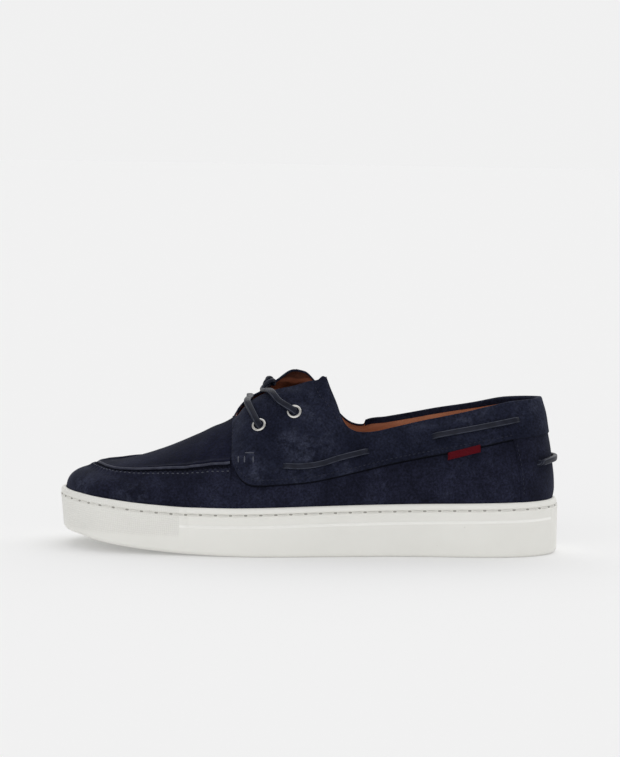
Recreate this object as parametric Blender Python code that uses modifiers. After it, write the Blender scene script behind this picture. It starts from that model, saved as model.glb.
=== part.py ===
"""Boat shoe for the left foot, in metres. The toe points to -X, the outer side of the foot is -Y, the floor is z = 0.

The upper, its panels, the tongue and the footbed are all cut from one last: a row of sections along the foot,
each an arch from the sole up over the foot. Every table holds shares of the named sizes, one row a section."""

import math
from functools import lru_cache

import bmesh
import bpy
import numpy as np
from mathutils import Vector

# Sole
SOLE_LENGTH = 0.300
BALL_WIDTH = 0.1070
HEEL_WIDTH = 0.0750
HEEL_HEIGHT = 0.0330
SOLE_FLOOR = 0.0090
LIP_INSET = 0.0018
LIP_TOE_INSET = 0.0028
LIP_HEEL_INSET = 0.0008
GROOVE_DROP = 0.0046
GROOVE_DEPTH = 0.0010
LEDGE_DROP = 0.0106
LEDGE_DEPTH = 0.0008
EDGE_ROUND = 0.0034
ARCH_HOLLOW = 0.0022
TREAD_MARGIN = 0.0110
TREAD_WIDTH = 0.0026
TREAD_DEPTH = 0.0016
TREAD_PITCH = 0.0125

# Upper
UPPER_INSET = 0.0045
UPPER_TOE_INSET = 0.0045
UPPER_HEEL_INSET = 0.0040
UPPER_WALL = 0.0020
INSTEP_HEIGHT = 0.0770
HEEL_TOP = 0.0925
GAP = 0.0003
PANEL = 0.0012
PANEL_LIFT = 0.0006
APRON_EDGE = 0.0021
APRON_HALF_WIDTH = 0.0360
FOOTBED = 0.0035
TONGUE = 0.0020
TONGUE_HALF_WIDTH = 0.0250

# Fittings
EYELET_WIDTH = 0.0086
EYELET_HOLE = 0.0048
EYELET_RIM = 0.0009
EYELET_BARREL = PANEL_LIFT + PANEL + UPPER_WALL + GAP
LACE = 0.0034
TAB_LENGTH = 0.0200
TAB_WIDTH = 0.0042
TAB_THICKNESS = 0.0010

STATIONS = 31
WALL_ROWS = 7
THROAT_START = 0.3450
OUTER_CORNER = 0.5330
INNER_CORNER = 0.4720

# Shares of the length where a shape starts, ends or needs closer sections
CLOSE_STATIONS = (0.004, 0.348, 0.354, 0.364, 0.541, 0.553, 0.565, 0.578, 0.598, 0.618, 0.996)
HEEL_LEAN_START = 0.80
ARCH_START = 0.52
ARCH_END = 0.72
ARCH_RAMP = 0.06
BALL_TREAD_START = 0.20
BALL_TREAD_ROWS = 7
HEEL_TREAD_START = 0.75
HEEL_TREAD_ROWS = 5
TREAD_WAVES = 4
APRON_START = 0.068
HEEL_PATCH_STATIONS = (0.925, 0.945, 0.965, 0.980, 0.992, 0.998)
HEEL_PATCH_FOOT = 0.02
TONGUE_START = 0.300
TONGUE_END = 0.512
TONGUE_ROUND = 0.28


def table(columns, *rows):
    return dict(zip(columns.split(), np.array(rows, float).T))


# Plan of the sole: half widths on the outer and inner side of the foot, as shares of the local width
PLAN = table(
    "along outer inner",
    (0.000, -0.065, 0.065),
    (0.010, 0.085, 0.215),
    (0.033, 0.200, 0.330),
    (0.083, 0.345, 0.430),
    (0.167, 0.432, 0.476),
    (0.250, 0.474, 0.489),
    (0.333, 0.503, 0.484),
    (0.400, 0.508, 0.460),
    (0.500, 0.500, 0.408),
    (0.600, 0.497, 0.386),
    (0.700, 0.503, 0.415),
    (0.800, 0.514, 0.475),
    (0.880, 0.488, 0.478),
    (0.940, 0.405, 0.402),
    (0.980, 0.258, 0.252),
    (1.000, 0.000, 0.000),
)

# Side view of the sole: the tread and the top of the wall, as shares of the heel height
SIDE = table(
    "along tread top",
    (0.000, 0.300, 1.062),
    (0.047, 0.250, 1.002),
    (0.077, 0.200, 0.978),
    (0.115, 0.148, 0.946),
    (0.160, 0.100, 0.908),
    (0.207, 0.063, 0.882),
    (0.270, 0.027, 0.859),
    (0.345, 0.006, 0.861),
    (0.400, 0.000, 0.872),
    (0.560, 0.000, 0.914),
    (0.720, 0.000, 0.946),
    (0.880, 0.000, 0.978),
    (1.000, 0.000, 1.012),
)

# Sections of the last. crest: top of the arch over the outer and inner half, as shares of the instep height.
# rise: how far the wall goes straight up. flat: how far the top stays level. bulge: how far the wall swells.
LAST = table(
    "along crest_outer crest_inner ridge rise flat bulge",
    (0.000, 0.436, 0.436, 0.065, 0.62, 0.62, 0.000),
    (0.007, 0.524, 0.524, 0.065, 0.62, 0.62, 0.000),
    (0.020, 0.567, 0.567, 0.064, 0.62, 0.62, 0.001),
    (0.040, 0.597, 0.597, 0.062, 0.62, 0.62, 0.002),
    (0.065, 0.617, 0.617, 0.060, 0.62, 0.62, 0.004),
    (0.120, 0.654, 0.654, 0.052, 0.62, 0.62, 0.008),
    (0.155, 0.688, 0.688, 0.046, 0.58, 0.58, 0.010),
    (0.200, 0.746, 0.746, 0.040, 0.54, 0.51, 0.011),
    (0.240, 0.809, 0.809, 0.034, 0.50, 0.45, 0.011),
    (0.300, 0.918, 0.918, 0.026, 0.46, 0.40, 0.010),
    (0.345, 1.006, 1.006, 0.020, 0.43, 0.36, 0.010),
    (0.353, 1.045, 1.090, 0.020, 0.42, 0.37, 0.010),
    (0.372, 1.165, 1.205, 0.018, 0.41, 0.38, 0.009),
    (0.400, 1.250, 1.285, 0.015, 0.40, 0.40, 0.008),
    (0.430, 1.350, 1.430, 0.012, 0.40, 0.40, 0.007),
    (0.472, 1.450, 1.660, 0.010, 0.40, 0.40, 0.006),
    (0.500, 1.530, 1.690, 0.009, 0.39, 0.39, 0.005),
    (0.527, 1.620, 1.680, 0.008, 0.38, 0.37, 0.005),
    (0.600, 1.640, 1.650, 0.004, 0.34, 0.27, 0.006),
    (0.700, 1.630, 1.630, 0.000, 0.31, 0.21, 0.010),
    (0.850, 1.650, 1.650, 0.000, 0.32, 0.24, 0.014),
    (1.000, 1.690, 1.690, 0.000, 0.34, 0.30, 0.016),
)

# Back of the heel: how far it leans forward, as a share of the heel's height above the sole
BACK = table(
    "height forward",
    (0.00, 0.000),
    (0.10, -0.014),
    (0.20, -0.010),
    (0.34, 0.007),
    (0.52, 0.033),
    (0.66, 0.061),
    (0.85, 0.095),
    (0.93, 0.119),
    (1.00, 0.142),
    (1.60, 0.330),
)

# Throat: half its width from the crest line, as a share of the tongue's half width
THROAT = table(
    "along half_gap",
    (0.345, 0.00),
    (0.350, 0.27),
    (0.358, 0.40),
    (0.372, 0.50),
    (0.400, 0.62),
    (0.440, 0.74),
    (0.480, 0.81),
    (0.533, 0.87),
)

# Topline behind the throat's corners, as shares of the heel's top
COLLAR_OUTER = table(
    "along height",
    (0.533, 1.127),
    (0.541, 1.062),
    (0.555, 0.962),
    (0.566, 0.870),
    (0.573, 0.832),
    (0.585, 0.801),
    (0.601, 0.785),
    (0.617, 0.783),
    (0.635, 0.789),
    (0.667, 0.811),
    (0.729, 0.857),
    (0.776, 0.888),
    (0.823, 0.920),
    (0.866, 0.948),
    (0.928, 0.980),
    (1.000, 0.997),
)
COLLAR_INNER = table(
    "along height",
    (0.472, 1.138),
    (0.490, 1.124),
    (0.509, 1.069),
    (0.535, 0.960),
    (0.568, 0.842),
    (0.578, 0.816),
    (0.591, 0.795),
    (0.606, 0.789),
    (0.620, 0.806),
    (0.660, 0.838),
    (0.709, 0.868),
    (0.766, 0.903),
    (0.841, 0.939),
    (0.915, 0.974),
    (1.000, 0.997),
)

# Apron: its half width from the crest line, as a share of its greatest
APRON = table(
    "along half_width",
    (0.066, 0.00),
    (0.069, 0.24),
    (0.075, 0.44),
    (0.088, 0.63),
    (0.114, 0.79),
    (0.170, 0.92),
    (0.243, 1.05),
    (0.290, 1.10),
    (0.350, 1.13),
)

# Lower edge of the quarter, as a share of the heel's top
QUARTER = table(
    "along height",
    (0.345, 0.600),
    (0.355, 0.531),
    (0.365, 0.488),
    (0.380, 0.459),
    (0.398, 0.451),
    (0.436, 0.458),
    (0.501, 0.476),
    (0.542, 0.499),
    (0.589, 0.532),
    (0.667, 0.590),
    (0.730, 0.630),
    (0.776, 0.658),
    (0.848, 0.704),
    (0.920, 0.749),
    (1.000, 0.777),
)

# Outsole wall from the tread to the lip: datum 0 tread, 1 top; offset from it; inset from the outline
SOLE_WALL = (
    (0, 0.0, EDGE_ROUND),
    (0, 0.30 * EDGE_ROUND, 0.35 * EDGE_ROUND),
    (0, EDGE_ROUND, 0.0),
    (1, -LEDGE_DROP, 0.0),
    (1, -LEDGE_DROP + LEDGE_DEPTH, LEDGE_DEPTH),
    (1, -GROOVE_DROP - GROOVE_DEPTH, LEDGE_DEPTH),
    (1, -GROOVE_DROP, LEDGE_DEPTH + GROOVE_DEPTH),
    (1, -GROOVE_DROP + GROOVE_DEPTH, LEDGE_DEPTH),
    (1, 0.0, LIP_INSET),
)

# Eyelets: place along the upper and height on each side, as shares of the heel's top
EYELETS = table(
    "along height_outer height_inner",
    (0.400, 0.812, 0.822),
    (0.470, 0.901, 0.920),
)

# Lace over the throat: where each strand passes the edge and the middle, and its height there
LACE_MIDDLE = table("edge middle height", (0.384, 0.378, 0.992), (0.421, 0.386, 1.010))
LACE_BACK = 0.035
KNOT = {"along": 0.401, "height": 1.0515, "size": 1.15, "stretch": (1.0, 1.25, 0.9)}

# Lace along the sides and round the heel: place along the upper and height, as a share of the heel's top
LACE_FRONT = table("along height", (0.449, 0.572), (0.472, 0.567), (0.508, 0.577), (0.561, 0.623), (0.620, 0.666))
LACE_REAR = table("along height", (0.750, 0.758), (0.802, 0.790), (0.854, 0.822), (0.932, 0.871))
HEEL_LOOP = table("along height", (0.968, 0.594), (0.985, 0.606), (1.000, 0.612))
LACE_LIFT = PANEL_LIFT + PANEL + 2 * GAP + LACE / 2

TAB = {"along": 0.815, "height": 0.665, "slope": 0.25}

COLORS = {
    "suede": ((0.016, 0.019, 0.036, 1.0), 0.95, 0.0),
    "rubber": ((0.72, 0.71, 0.67, 1.0), 0.55, 0.0),
    "leather": ((0.30, 0.12, 0.055, 1.0), 0.60, 0.0),
    "lace": ((0.020, 0.023, 0.034, 1.0), 0.55, 0.0),
    "metal": ((0.72, 0.71, 0.69, 1.0), 0.30, 1.0),
    "webbing": ((0.200, 0.030, 0.045, 1.0), 0.90, 0.0),
}


def clear_scene():
    for thing in list(bpy.data.objects):
        bpy.data.objects.remove(thing, do_unlink=True)


def material(name):
    found = bpy.data.materials.get(name)
    if found:
        return found
    color, roughness, metallic = COLORS[name]
    made = bpy.data.materials.new(name)
    made.use_nodes = True
    shader = made.node_tree.nodes["Principled BSDF"]
    shader.inputs["Base Color"].default_value = color
    shader.inputs["Roughness"].default_value = roughness
    shader.inputs["Metallic"].default_value = metallic
    return made


def smooth_curve(xs, ys, at):
    """Cubic through the points that never overshoots them."""
    step = np.diff(xs)
    rate = np.diff(ys) / step
    slope = np.concatenate(([rate[0]], np.zeros(len(xs) - 2), [rate[-1]]))
    for i in range(1, len(xs) - 1):
        if rate[i - 1] * rate[i] > 0:
            before, after = 2 * step[i] + step[i - 1], step[i] + 2 * step[i - 1]
            slope[i] = (before + after) / (before / rate[i - 1] + after / rate[i])
    at = np.clip(at, xs[0], xs[-1])
    i = np.clip(np.searchsorted(xs, at) - 1, 0, len(step) - 1)
    u = (at - xs[i]) / step[i]
    rest = 1 - u
    return (
        ys[i] * (1 + 2 * u) * rest**2
        + ys[i + 1] * (3 - 2 * u) * u**2
        + step[i] * u * rest * (slope[i] * rest - slope[i + 1] * u)
    )


def angle(along):
    """Shares of the length as angles of a half turn, so that both ends come out round."""
    return np.arccos(1 - 2 * np.clip(along, 0, 1))


def read(rows, column, along):
    return smooth_curve(angle(rows["along"]), rows[column], angle(along))


def local_width(along):
    blend = np.clip((along - 0.35) / 0.45, 0, 1)
    return BALL_WIDTH + (HEEL_WIDTH - BALL_WIDTH) * blend * blend * (3 - 2 * blend)


def plan(along, side, inset, toe_inset, heel_inset):
    """Point of the outline, seen from above, moved inwards. side is -1 on the outer side and 1 on the inner."""
    start, end = -SOLE_LENGTH / 2 + toe_inset, SOLE_LENGTH / 2 - heel_inset
    half = read(PLAN, "outer" if side < 0 else "inner", along) * local_width(along)
    return start + (end - start) * along, side * (half - inset * np.sin(angle(along)))


def sole_share(x):
    return np.clip(x / SOLE_LENGTH + 0.5, 0, 1)


def tread_height(x):
    return HEEL_HEIGHT * read(SIDE, "tread", sole_share(x))


def wall_top(x):
    return HEEL_HEIGHT * read(SIDE, "top", sole_share(x))


def cup_floor(x):
    return tread_height(x) + SOLE_FLOOR


@lru_cache(maxsize=None)
def section(along, side):
    """x, foot of the wall and the four corners of the arch: (y, z) each."""
    x, foot_y = plan(along, side, UPPER_INSET, UPPER_TOE_INSET, UPPER_HEEL_INSET)
    foot_z = wall_top(x) - GAP
    half = "crest_outer" if side < 0 or along <= THROAT_START else "crest_inner"
    crest = max(read(LAST, half, along) * INSTEP_HEIGHT, foot_z)
    ridge = read(LAST, "ridge", along) * BALL_WIDTH
    swell = side * read(LAST, "bulge", along) * BALL_WIDTH * np.sin(angle(along))
    corners = np.array(
        [
            (foot_y, foot_z),
            (foot_y + swell, foot_z + read(LAST, "rise", along) * (crest - foot_z)),
            (ridge + read(LAST, "flat", along) * (foot_y - ridge), crest),
            (ridge, crest),
        ]
    )
    return x, corners


def lean(along, x, z):
    """How far the heel's back moves a point forward, at its height above the sole."""
    share = np.clip((along - HEEL_LEAN_START) / (1 - HEEL_LEAN_START), 0, 1)
    foot = wall_top(x) - GAP
    tall = HEEL_TOP - foot
    return tall * smooth_curve(BACK["height"], BACK["forward"], (z - foot) / tall) * share**2


def arch(u, corners):
    rest = 1 - u
    return (
        rest**3 * corners[0]
        + 3 * rest**2 * u * corners[1]
        + 3 * rest * u**2 * corners[2]
        + u**3 * corners[3]
    )


def surface(along, side, u):
    """Point of the last. u is 0 at the sole and 1 at the crest; below 0 it runs down into the sole."""
    x, corners = section(along, side)
    if u < 0:
        y, z = corners[0] + np.array([0, u * (corners[0][1] - cup_floor(x) - GAP)])
    else:
        y, z = arch(u, corners)
    return Vector((x - lean(along, x, z), y, z))


def normal(along, side, u):
    """Outward direction of the last at a point."""
    step = 0.002
    if along == 0:
        return Vector((-1, 0, 0 if u < 0 else 0.4)).normalized()
    if u == 1:
        side = -1
    before, after = max(along - step, 0), min(along + step, 1)
    lengthwise = surface(after, side, u) - surface(before, side, u)
    low, high = (u - step, u) if u < 0 or u > 1 - step else (u, u + step)
    upwards = surface(along, side, high) - surface(along, side, low)
    if along > 1 - step:
        lengthwise = Vector((0, -side, 0))
    out = lengthwise.cross(upwards) * -side
    if along > 1 - step:
        out.y = 0
    if u == 1:
        out.y = 0
    return out.normalized()


def raised(along, side, u, height):
    return surface(along, side, u) + normal(along, side, u) * height


@lru_cache(maxsize=None)
def u_at(along, side, value, axis):
    """Where on the arch a height (axis 1) or a distance from the crest line (axis 0) is reached."""
    x, corners = section(along, side)
    low, high = 0.0, 1.0
    for _ in range(30):
        middle = (low + high) / 2
        y, z = arch(middle, corners)
        short = z < value if axis else side * (y - corners[3][0]) > value
        low, high = (middle, high) if short else (low, middle)
    return (low + high) / 2


def throat_u(along, side):
    half_gap = read(THROAT, "half_gap", along) * TONGUE_HALF_WIDTH
    return u_at(along, side, half_gap, 0)


def top_u(along, side):
    """Upper edge of the upper: the crest in front of the throat, then the throat's edge, then the collar."""
    if along <= THROAT_START:
        return 1.0
    corner = OUTER_CORNER if side < 0 else INNER_CORNER
    if along <= corner:
        return throat_u(along, side)
    rows = COLLAR_OUTER if side < 0 else COLLAR_INNER
    return u_at(along, side, read(rows, "height", along) * HEEL_TOP, 1)


def stations(start=0.0, end=1.0):
    """Shares of the length, closer at the toe, the heel, the throat's front and both corners."""
    even = np.linspace(0, 1, STATIONS)
    base = 0.5 * even + 0.5 * (1 - np.cos(math.pi * even)) / 2
    extra = [*CLOSE_STATIONS, THROAT_START, INNER_CORNER, OUTER_CORNER, start, end]
    near = [a for a in base if min(abs(a - e) for e in extra) > 0.006]
    return sorted({round(float(a), 5) for a in near + extra if start <= a <= end})


def loft(name, finish, outer, inner, wrap=False):
    """Closed solid between two grids of points, rows by columns. wrap joins each row's end to its start."""
    shape = bmesh.new()
    grids = [[[shape.verts.new(p) for p in row] for row in grid] for grid in (outer, inner)]
    rows, columns = len(outer), len(outer[0])
    across = columns if wrap else columns - 1

    def face(*corners):
        shape.faces.new(corners)

    for i in range(rows - 1):
        for j in range(across):
            k = (j + 1) % columns
            a, b = grids
            face(a[i][j], a[i][k], a[i + 1][k], a[i + 1][j])
            face(b[i][j], b[i + 1][j], b[i + 1][k], b[i][k])
    for j in range(across):
        k = (j + 1) % columns
        for i, (first, second) in ((0, (0, 1)), (rows - 1, (1, 0))):
            a, b = grids[first], grids[second]
            face(a[i][k], a[i][j], b[i][j], b[i][k])
    if not wrap:
        for i in range(rows - 1):
            for j, (first, second) in ((0, (1, 0)), (columns - 1, (0, 1))):
                a, b = grids[first], grids[second]
                face(a[i + 1][j], a[i][j], b[i][j], b[i + 1][j])
    return finish_mesh(name, finish, shape)


def finish_mesh(name, finish, shape, sharp=35):
    bmesh.ops.remove_doubles(shape, verts=shape.verts, dist=2e-6)
    bmesh.ops.dissolve_degenerate(shape, edges=shape.edges, dist=1e-6)
    bmesh.ops.recalc_face_normals(shape, faces=shape.faces)
    mesh = bpy.data.meshes.new(name)
    shape.to_mesh(mesh)
    shape.free()
    mesh.shade_smooth()
    mesh.set_sharp_from_angle(angle=math.radians(sharp))
    mesh.materials.append(material(finish))
    made = bpy.data.objects.new(name, mesh)
    parts.objects.link(made)
    return made


def ring(ring_stations, inset, toe_inset, heel_inset, height):
    """One closed loop round the shoe: the outer side from toe to heel, then the inner side back."""
    points = []
    for side, order in ((-1, ring_stations), (1, ring_stations[-2:0:-1])):
        for along in order:
            x, y = plan(along, side, inset, toe_inset, heel_inset)
            points.append((x, y, height(x)))
    return points


def solid_of_rings(name, finish, rings, across):
    """Closed solid from a stack of loops, each end closed by strips from side to side with shares across."""
    shape = bmesh.new()
    loops = [[shape.verts.new(p) for p in loop] for loop in rings]
    count = len(loops[0])
    for low, high in zip(loops, loops[1:]):
        for j in range(count):
            k = (j + 1) % count
            shape.faces.new((low[j], low[k], high[k], high[j]))
    for loop, lift in ((loops[0], across[0]), (loops[-1], across[1])):
        half = count // 2
        strips = []
        for i in range(1, half):
            a, b = loop[i], loop[count - i]
            inside = []
            for share, raise_by in lift(a.co.x):
                point = a.co.lerp(b.co, share)
                point.z += raise_by
                inside.append(shape.verts.new(point))
            strips.append([a, *inside, b])
        for first, second in zip(strips, strips[1:]):
            for j in range(len(first) - 1):
                shape.faces.new((first[j], second[j], second[j + 1], first[j + 1]))
        for tip, strip in ((loop[0], strips[0]), (loop[half], strips[-1])):
            for j in range(len(strip) - 1):
                shape.faces.new((tip, strip[j], strip[j + 1]))
    return finish_mesh(name, finish, shape)


def arch_window(x):
    """1 in the waist of the sole, 0 under the ball and the heel."""
    share = sole_share(x)
    return np.clip((share - ARCH_START) / ARCH_RAMP, 0, 1) * np.clip((ARCH_END - share) / ARCH_RAMP, 0, 1)


def arched(x):
    return [(share, ARCH_HOLLOW * arch_window(x)) for share in (0.2, 0.5, 0.8)]


def level(x):
    return [(0.5, 0.0)]


def dished(x):
    return [(share, -0.25 * FOOTBED) for share in (0.25, 0.5, 0.75)]


def make_outsole():
    marks = stations()
    rings = []
    for datum, offset, inset in SOLE_WALL:
        toe = heel = inset
        if datum and offset == 0:
            toe, heel = LIP_TOE_INSET, LIP_HEEL_INSET
        elif datum and offset > -GROOVE_DROP - 2 * GROOVE_DEPTH:
            toe, heel = inset + 0.55 * LIP_TOE_INSET, inset + 0.3 * LIP_HEEL_INSET
        datum_height = wall_top if datum else tread_height
        rings.append(ring(marks, inset, toe, heel, lambda x, base=datum_height, up=offset: base(x) + up))
    cup = (UPPER_INSET - GAP, UPPER_TOE_INSET - GAP, UPPER_HEEL_INSET - GAP)
    rings.append(ring(marks, *cup, wall_top))
    rings.append(ring(marks, *cup, cup_floor))
    outsole = solid_of_rings("outsole", "rubber", rings, (arched, level))
    cut(outsole, tread_cutter())


def tread_cutter():
    """Wavy grooves across the ball and the heel, as one helper solid."""
    shape = bmesh.new()
    starts = [BALL_TREAD_START * SOLE_LENGTH + i * TREAD_PITCH for i in range(BALL_TREAD_ROWS)]
    starts += [HEEL_TREAD_START * SOLE_LENGTH + i * TREAD_PITCH for i in range(HEEL_TREAD_ROWS)]
    for start in [s - SOLE_LENGTH / 2 for s in starts]:
        share = float(sole_share(start))
        left = plan(share, -1, TREAD_MARGIN, 0, 0)[1]
        right = plan(share, 1, TREAD_MARGIN, 0, 0)[1]
        lower, upper = [], []
        for i in range(TREAD_WAVES + 1):
            y = left + (right - left) * i / TREAD_WAVES
            x = start + (0.25 if i % 2 else -0.25) * TREAD_PITCH
            top = float(tread_height(x)) + TREAD_DEPTH
            for store, z in ((lower, -HEEL_HEIGHT / 10), (upper, top)):
                store.append([(x - TREAD_WIDTH / 2, y, z), (x + TREAD_WIDTH / 2, y, z)])
        verts = [[[shape.verts.new(p) for p in pair] for pair in level] for level in (lower, upper)]
        for i in range(TREAD_WAVES):
            (a, b), (c, d) = verts[0][i], verts[0][i + 1]
            (e, f), (g, h) = verts[1][i], verts[1][i + 1]
            for corners in ((a, c, d, b), (e, f, h, g), (a, e, g, c), (b, d, h, f)):
                shape.faces.new(corners)
        for i in (0, TREAD_WAVES):
            (a, b), (e, f) = verts[0][i], verts[1][i]
            shape.faces.new((a, b, f, e))
    return helper("tread_cutter", shape)


def helper(name, shape):
    bmesh.ops.recalc_face_normals(shape, faces=shape.faces)
    mesh = bpy.data.meshes.new(name)
    shape.to_mesh(mesh)
    shape.free()
    made = bpy.data.objects.new(name, mesh)
    made.hide_render = True
    made.display_type = "WIRE"
    cutters.objects.link(made)
    return made


def cut(target, cutter):
    change = target.modifiers.new(cutter.name, "BOOLEAN")
    change.operation = "DIFFERENCE"
    change.object = cutter


def make_insole():
    marks = stations()
    inside = UPPER_WALL + 5 * GAP
    sizes = (UPPER_INSET + inside, UPPER_TOE_INSET + inside, UPPER_HEEL_INSET + inside)
    low = ring(marks, *sizes, lambda x: cup_floor(x) + GAP)
    high = ring(marks, *sizes, lambda x: cup_floor(x) + GAP + FOOTBED)
    solid_of_rings("insole", "leather", [low, high], (level, dished))


def upper_rows(along, side):
    """u of each row, from the foot of the wall in the sole to the top edge."""
    top = top_u(along, side)
    return [-1.0, -0.5] + [top * i / WALL_ROWS for i in range(WALL_ROWS + 1)]


def make_upper():
    """One hollow wall round the foot: open below, at the throat and at the collar."""
    shape = bmesh.new()
    marks = stations()
    grid = {}
    for layer, depth in (("out", 0.0), ("in", -UPPER_WALL)):
        for side in (-1, 1):
            for i, along in enumerate(marks):
                for j, u in enumerate(upper_rows(along, side)):
                    grid[layer, side, i, j] = shape.verts.new(raised(along, side, u, depth))
    last = WALL_ROWS + 2
    for side in (-1, 1):
        for i in range(len(marks) - 1):
            for j in range(last):
                for layer in ("out", "in"):
                    keys = ((i, j), (i + 1, j), (i + 1, j + 1), (i, j + 1))
                    shape.faces.new([grid[layer, side, a, b] for a, b in keys])
            rims = [0] if marks[i] < THROAT_START - 1e-6 else [0, last]
            for j in rims:
                pairs = [grid["out", side, a, j] for a in (i, i + 1)] + [grid["in", side, a, j] for a in (i + 1, i)]
                shape.faces.new(pairs)
    return finish_mesh("upper", "suede", shape)


def panel(name, columns, low, high, finish="suede"):
    """Overlay from one point grid: columns of (along, side, u), each lifted to low and to high off the wall."""
    outer = [[raised(a, s, u, high(i, j)) for j, (a, s, u) in enumerate(column)] for i, column in enumerate(columns)]
    inner = [[raised(a, s, u, low) for a, s, u in column] for column in columns]
    return loft(name, finish, outer, inner)


def make_quarter(name, side):
    """Panel round the collar: from the throat and the eyelets back to the middle of the heel."""
    columns = []
    end = 1 - GAP / SOLE_LENGTH
    for along in stations(THROAT_START, end):
        bottom = u_at(along, side, read(QUARTER, "height", along) * HEEL_TOP, 1)
        top = top_u(along + 1e-4, side)
        columns.append([(along, side, bottom + (top - bottom) * i / 5) for i in range(6)])
    return panel(name, columns, PANEL_LIFT, lambda i, j: PANEL_LIFT + PANEL)


def make_apron():
    """The plug over the toes. Its edge stands up as the hand-sewn ridge."""
    columns = []
    end = THROAT_START - 6 * GAP
    for along in stations(APRON_START, end):
        half = read(APRON, "half_width", along) * APRON_HALF_WIDTH
        edge = [u_at(along, side, half, 0) for side in (-1, 1)]
        shares = (0.0, 0.08, 0.30, 0.55, 0.78, 1.0)
        left = [(along, -1, edge[0] + (1 - edge[0]) * s) for s in shares]
        right = [(along, 1, edge[1] + (1 - edge[1]) * s) for s in reversed(shares[:-1])]
        columns.append(left + right)
    last = len(columns[0]) - 1

    def height(i, j):
        ridge = j in (0, 1, last - 1, last) or i == 0
        return PANEL_LIFT + (APRON_EDGE if ridge else PANEL)

    panel("apron", columns, PANEL_LIFT, height)


def make_heel_patch():
    """Counter panel on the back of the heel, below the quarters."""
    columns = []
    for side, order in ((-1, (*HEEL_PATCH_STATIONS, 1.0)), (1, HEEL_PATCH_STATIONS[::-1])):
        for along in order:
            top_z = read(QUARTER, "height", along) * HEEL_TOP - 4 * GAP
            top = u_at(along, side, top_z, 1)
            columns.append([(along, side, HEEL_PATCH_FOOT + (top - HEEL_PATCH_FOOT) * i / 4) for i in range(5)])
    panel("heel_patch", columns, PANEL_LIFT, lambda i, j: PANEL_LIFT + PANEL)


def make_tongue():
    """Soft flap under the throat, sewn under the vamp in front and free at the back."""
    outer, inner = [], []
    for along in stations(TONGUE_START, TONGUE_END):
        share = (along - TONGUE_START) / (TONGUE_END - TONGUE_START)
        round_end = math.sqrt(1.05 - max(0.0, (share - 1 + TONGUE_ROUND) / TONGUE_ROUND) ** 2)
        half = TONGUE_HALF_WIDTH * round_end
        upper_row, lower_row = [], []
        for j in range(9):
            across = -1 + j / 4
            point = tongue_point(along, -1 if across < 0 else 1, abs(across) * half)
            upper_row.append(point)
            lower_row.append(point - Vector((0, 0.3 * across, 1)).normalized() * TONGUE)
        outer.append(upper_row)
        inner.append(lower_row)
    loft("tongue", "suede", outer, inner)


def tongue_point(along, side, distance):
    """Under the wall, and lower than the quarters' edges where the throat is open."""
    under = UPPER_WALL + 3 * GAP
    point = raised(along, side, u_at(along, side, max(distance, 1e-5), 0), -under)
    if distance == 0:
        point.y = section(along, side)[1][3][0]
    if along > THROAT_START:
        opening = min(along, INNER_CORNER)
        edge = min(surface(opening, s, throat_u(opening, s)).z for s in (-1, 1))
        blend = min(1.0, (along - THROAT_START) / 0.04)
        point.z = min(point.z, edge - under - blend * TONGUE - 0.12 * distance)
    return point


def on_wall(along, side, height, lift):
    """Point above the wall where it reaches a height over the floor."""
    return raised(along, side, u_at(along, side, height, 1), lift)


def smooth_route(points, closeness):
    """Points along one smooth curve through the given ones."""
    points = [Vector(p) for p in points]
    ends = [2 * points[0] - points[1], *points, 2 * points[-1] - points[-2]]
    route = []
    for i in range(1, len(ends) - 2):
        a, b, c, d = ends[i - 1 : i + 3]
        steps = max(1, round((c - b).length / closeness))
        for k in range(steps):
            u = k / steps
            route.append(
                0.5 * (2 * b + (c - a) * u + (2 * a - 5 * b + 4 * c - d) * u**2 + (3 * b - a - 3 * c + d) * u**3)
            )
    return [*route, points[-1]]


def tube(name, finish, points, width):
    """Round cord through the points, with filled ends."""
    curve = bpy.data.curves.new(name, "CURVE")
    curve.dimensions = "3D"
    curve.bevel_depth = width / 2
    curve.bevel_resolution = 2
    curve.use_fill_caps = True
    route = smooth_route(points, 1.6 * width)
    line = curve.splines.new("POLY")
    line.points.add(len(route) - 1)
    for spot, point in zip(line.points, route):
        spot.co = (*point, 1)
    curve.materials.append(material(finish))
    made = bpy.data.objects.new(name, curve)
    parts.objects.link(made)
    return made


def as_mesh(made):
    """The tube as a closed mesh, ready to be joined."""
    bpy.context.view_layer.update()
    evaluated = made.evaluated_get(bpy.context.evaluated_depsgraph_get())
    mesh = bpy.data.meshes.new_from_object(evaluated)
    shape = bmesh.new()
    shape.from_mesh(mesh)
    bmesh.ops.remove_doubles(shape, verts=shape.verts, dist=2e-6)
    bmesh.ops.recalc_face_normals(shape, faces=shape.faces)
    shape.to_mesh(mesh)
    shape.free()
    name, place = made.name, made.matrix_world.copy()
    bpy.data.objects.remove(made, do_unlink=True)
    solid = bpy.data.objects.new(name, mesh)
    solid.matrix_world = place
    parts.objects.link(solid)
    return solid


def eyelet_place(along, side, height):
    u = u_at(along, side, height * HEEL_TOP, 1)
    direction = normal(along, side, u)
    return surface(along, side, u), direction


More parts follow.
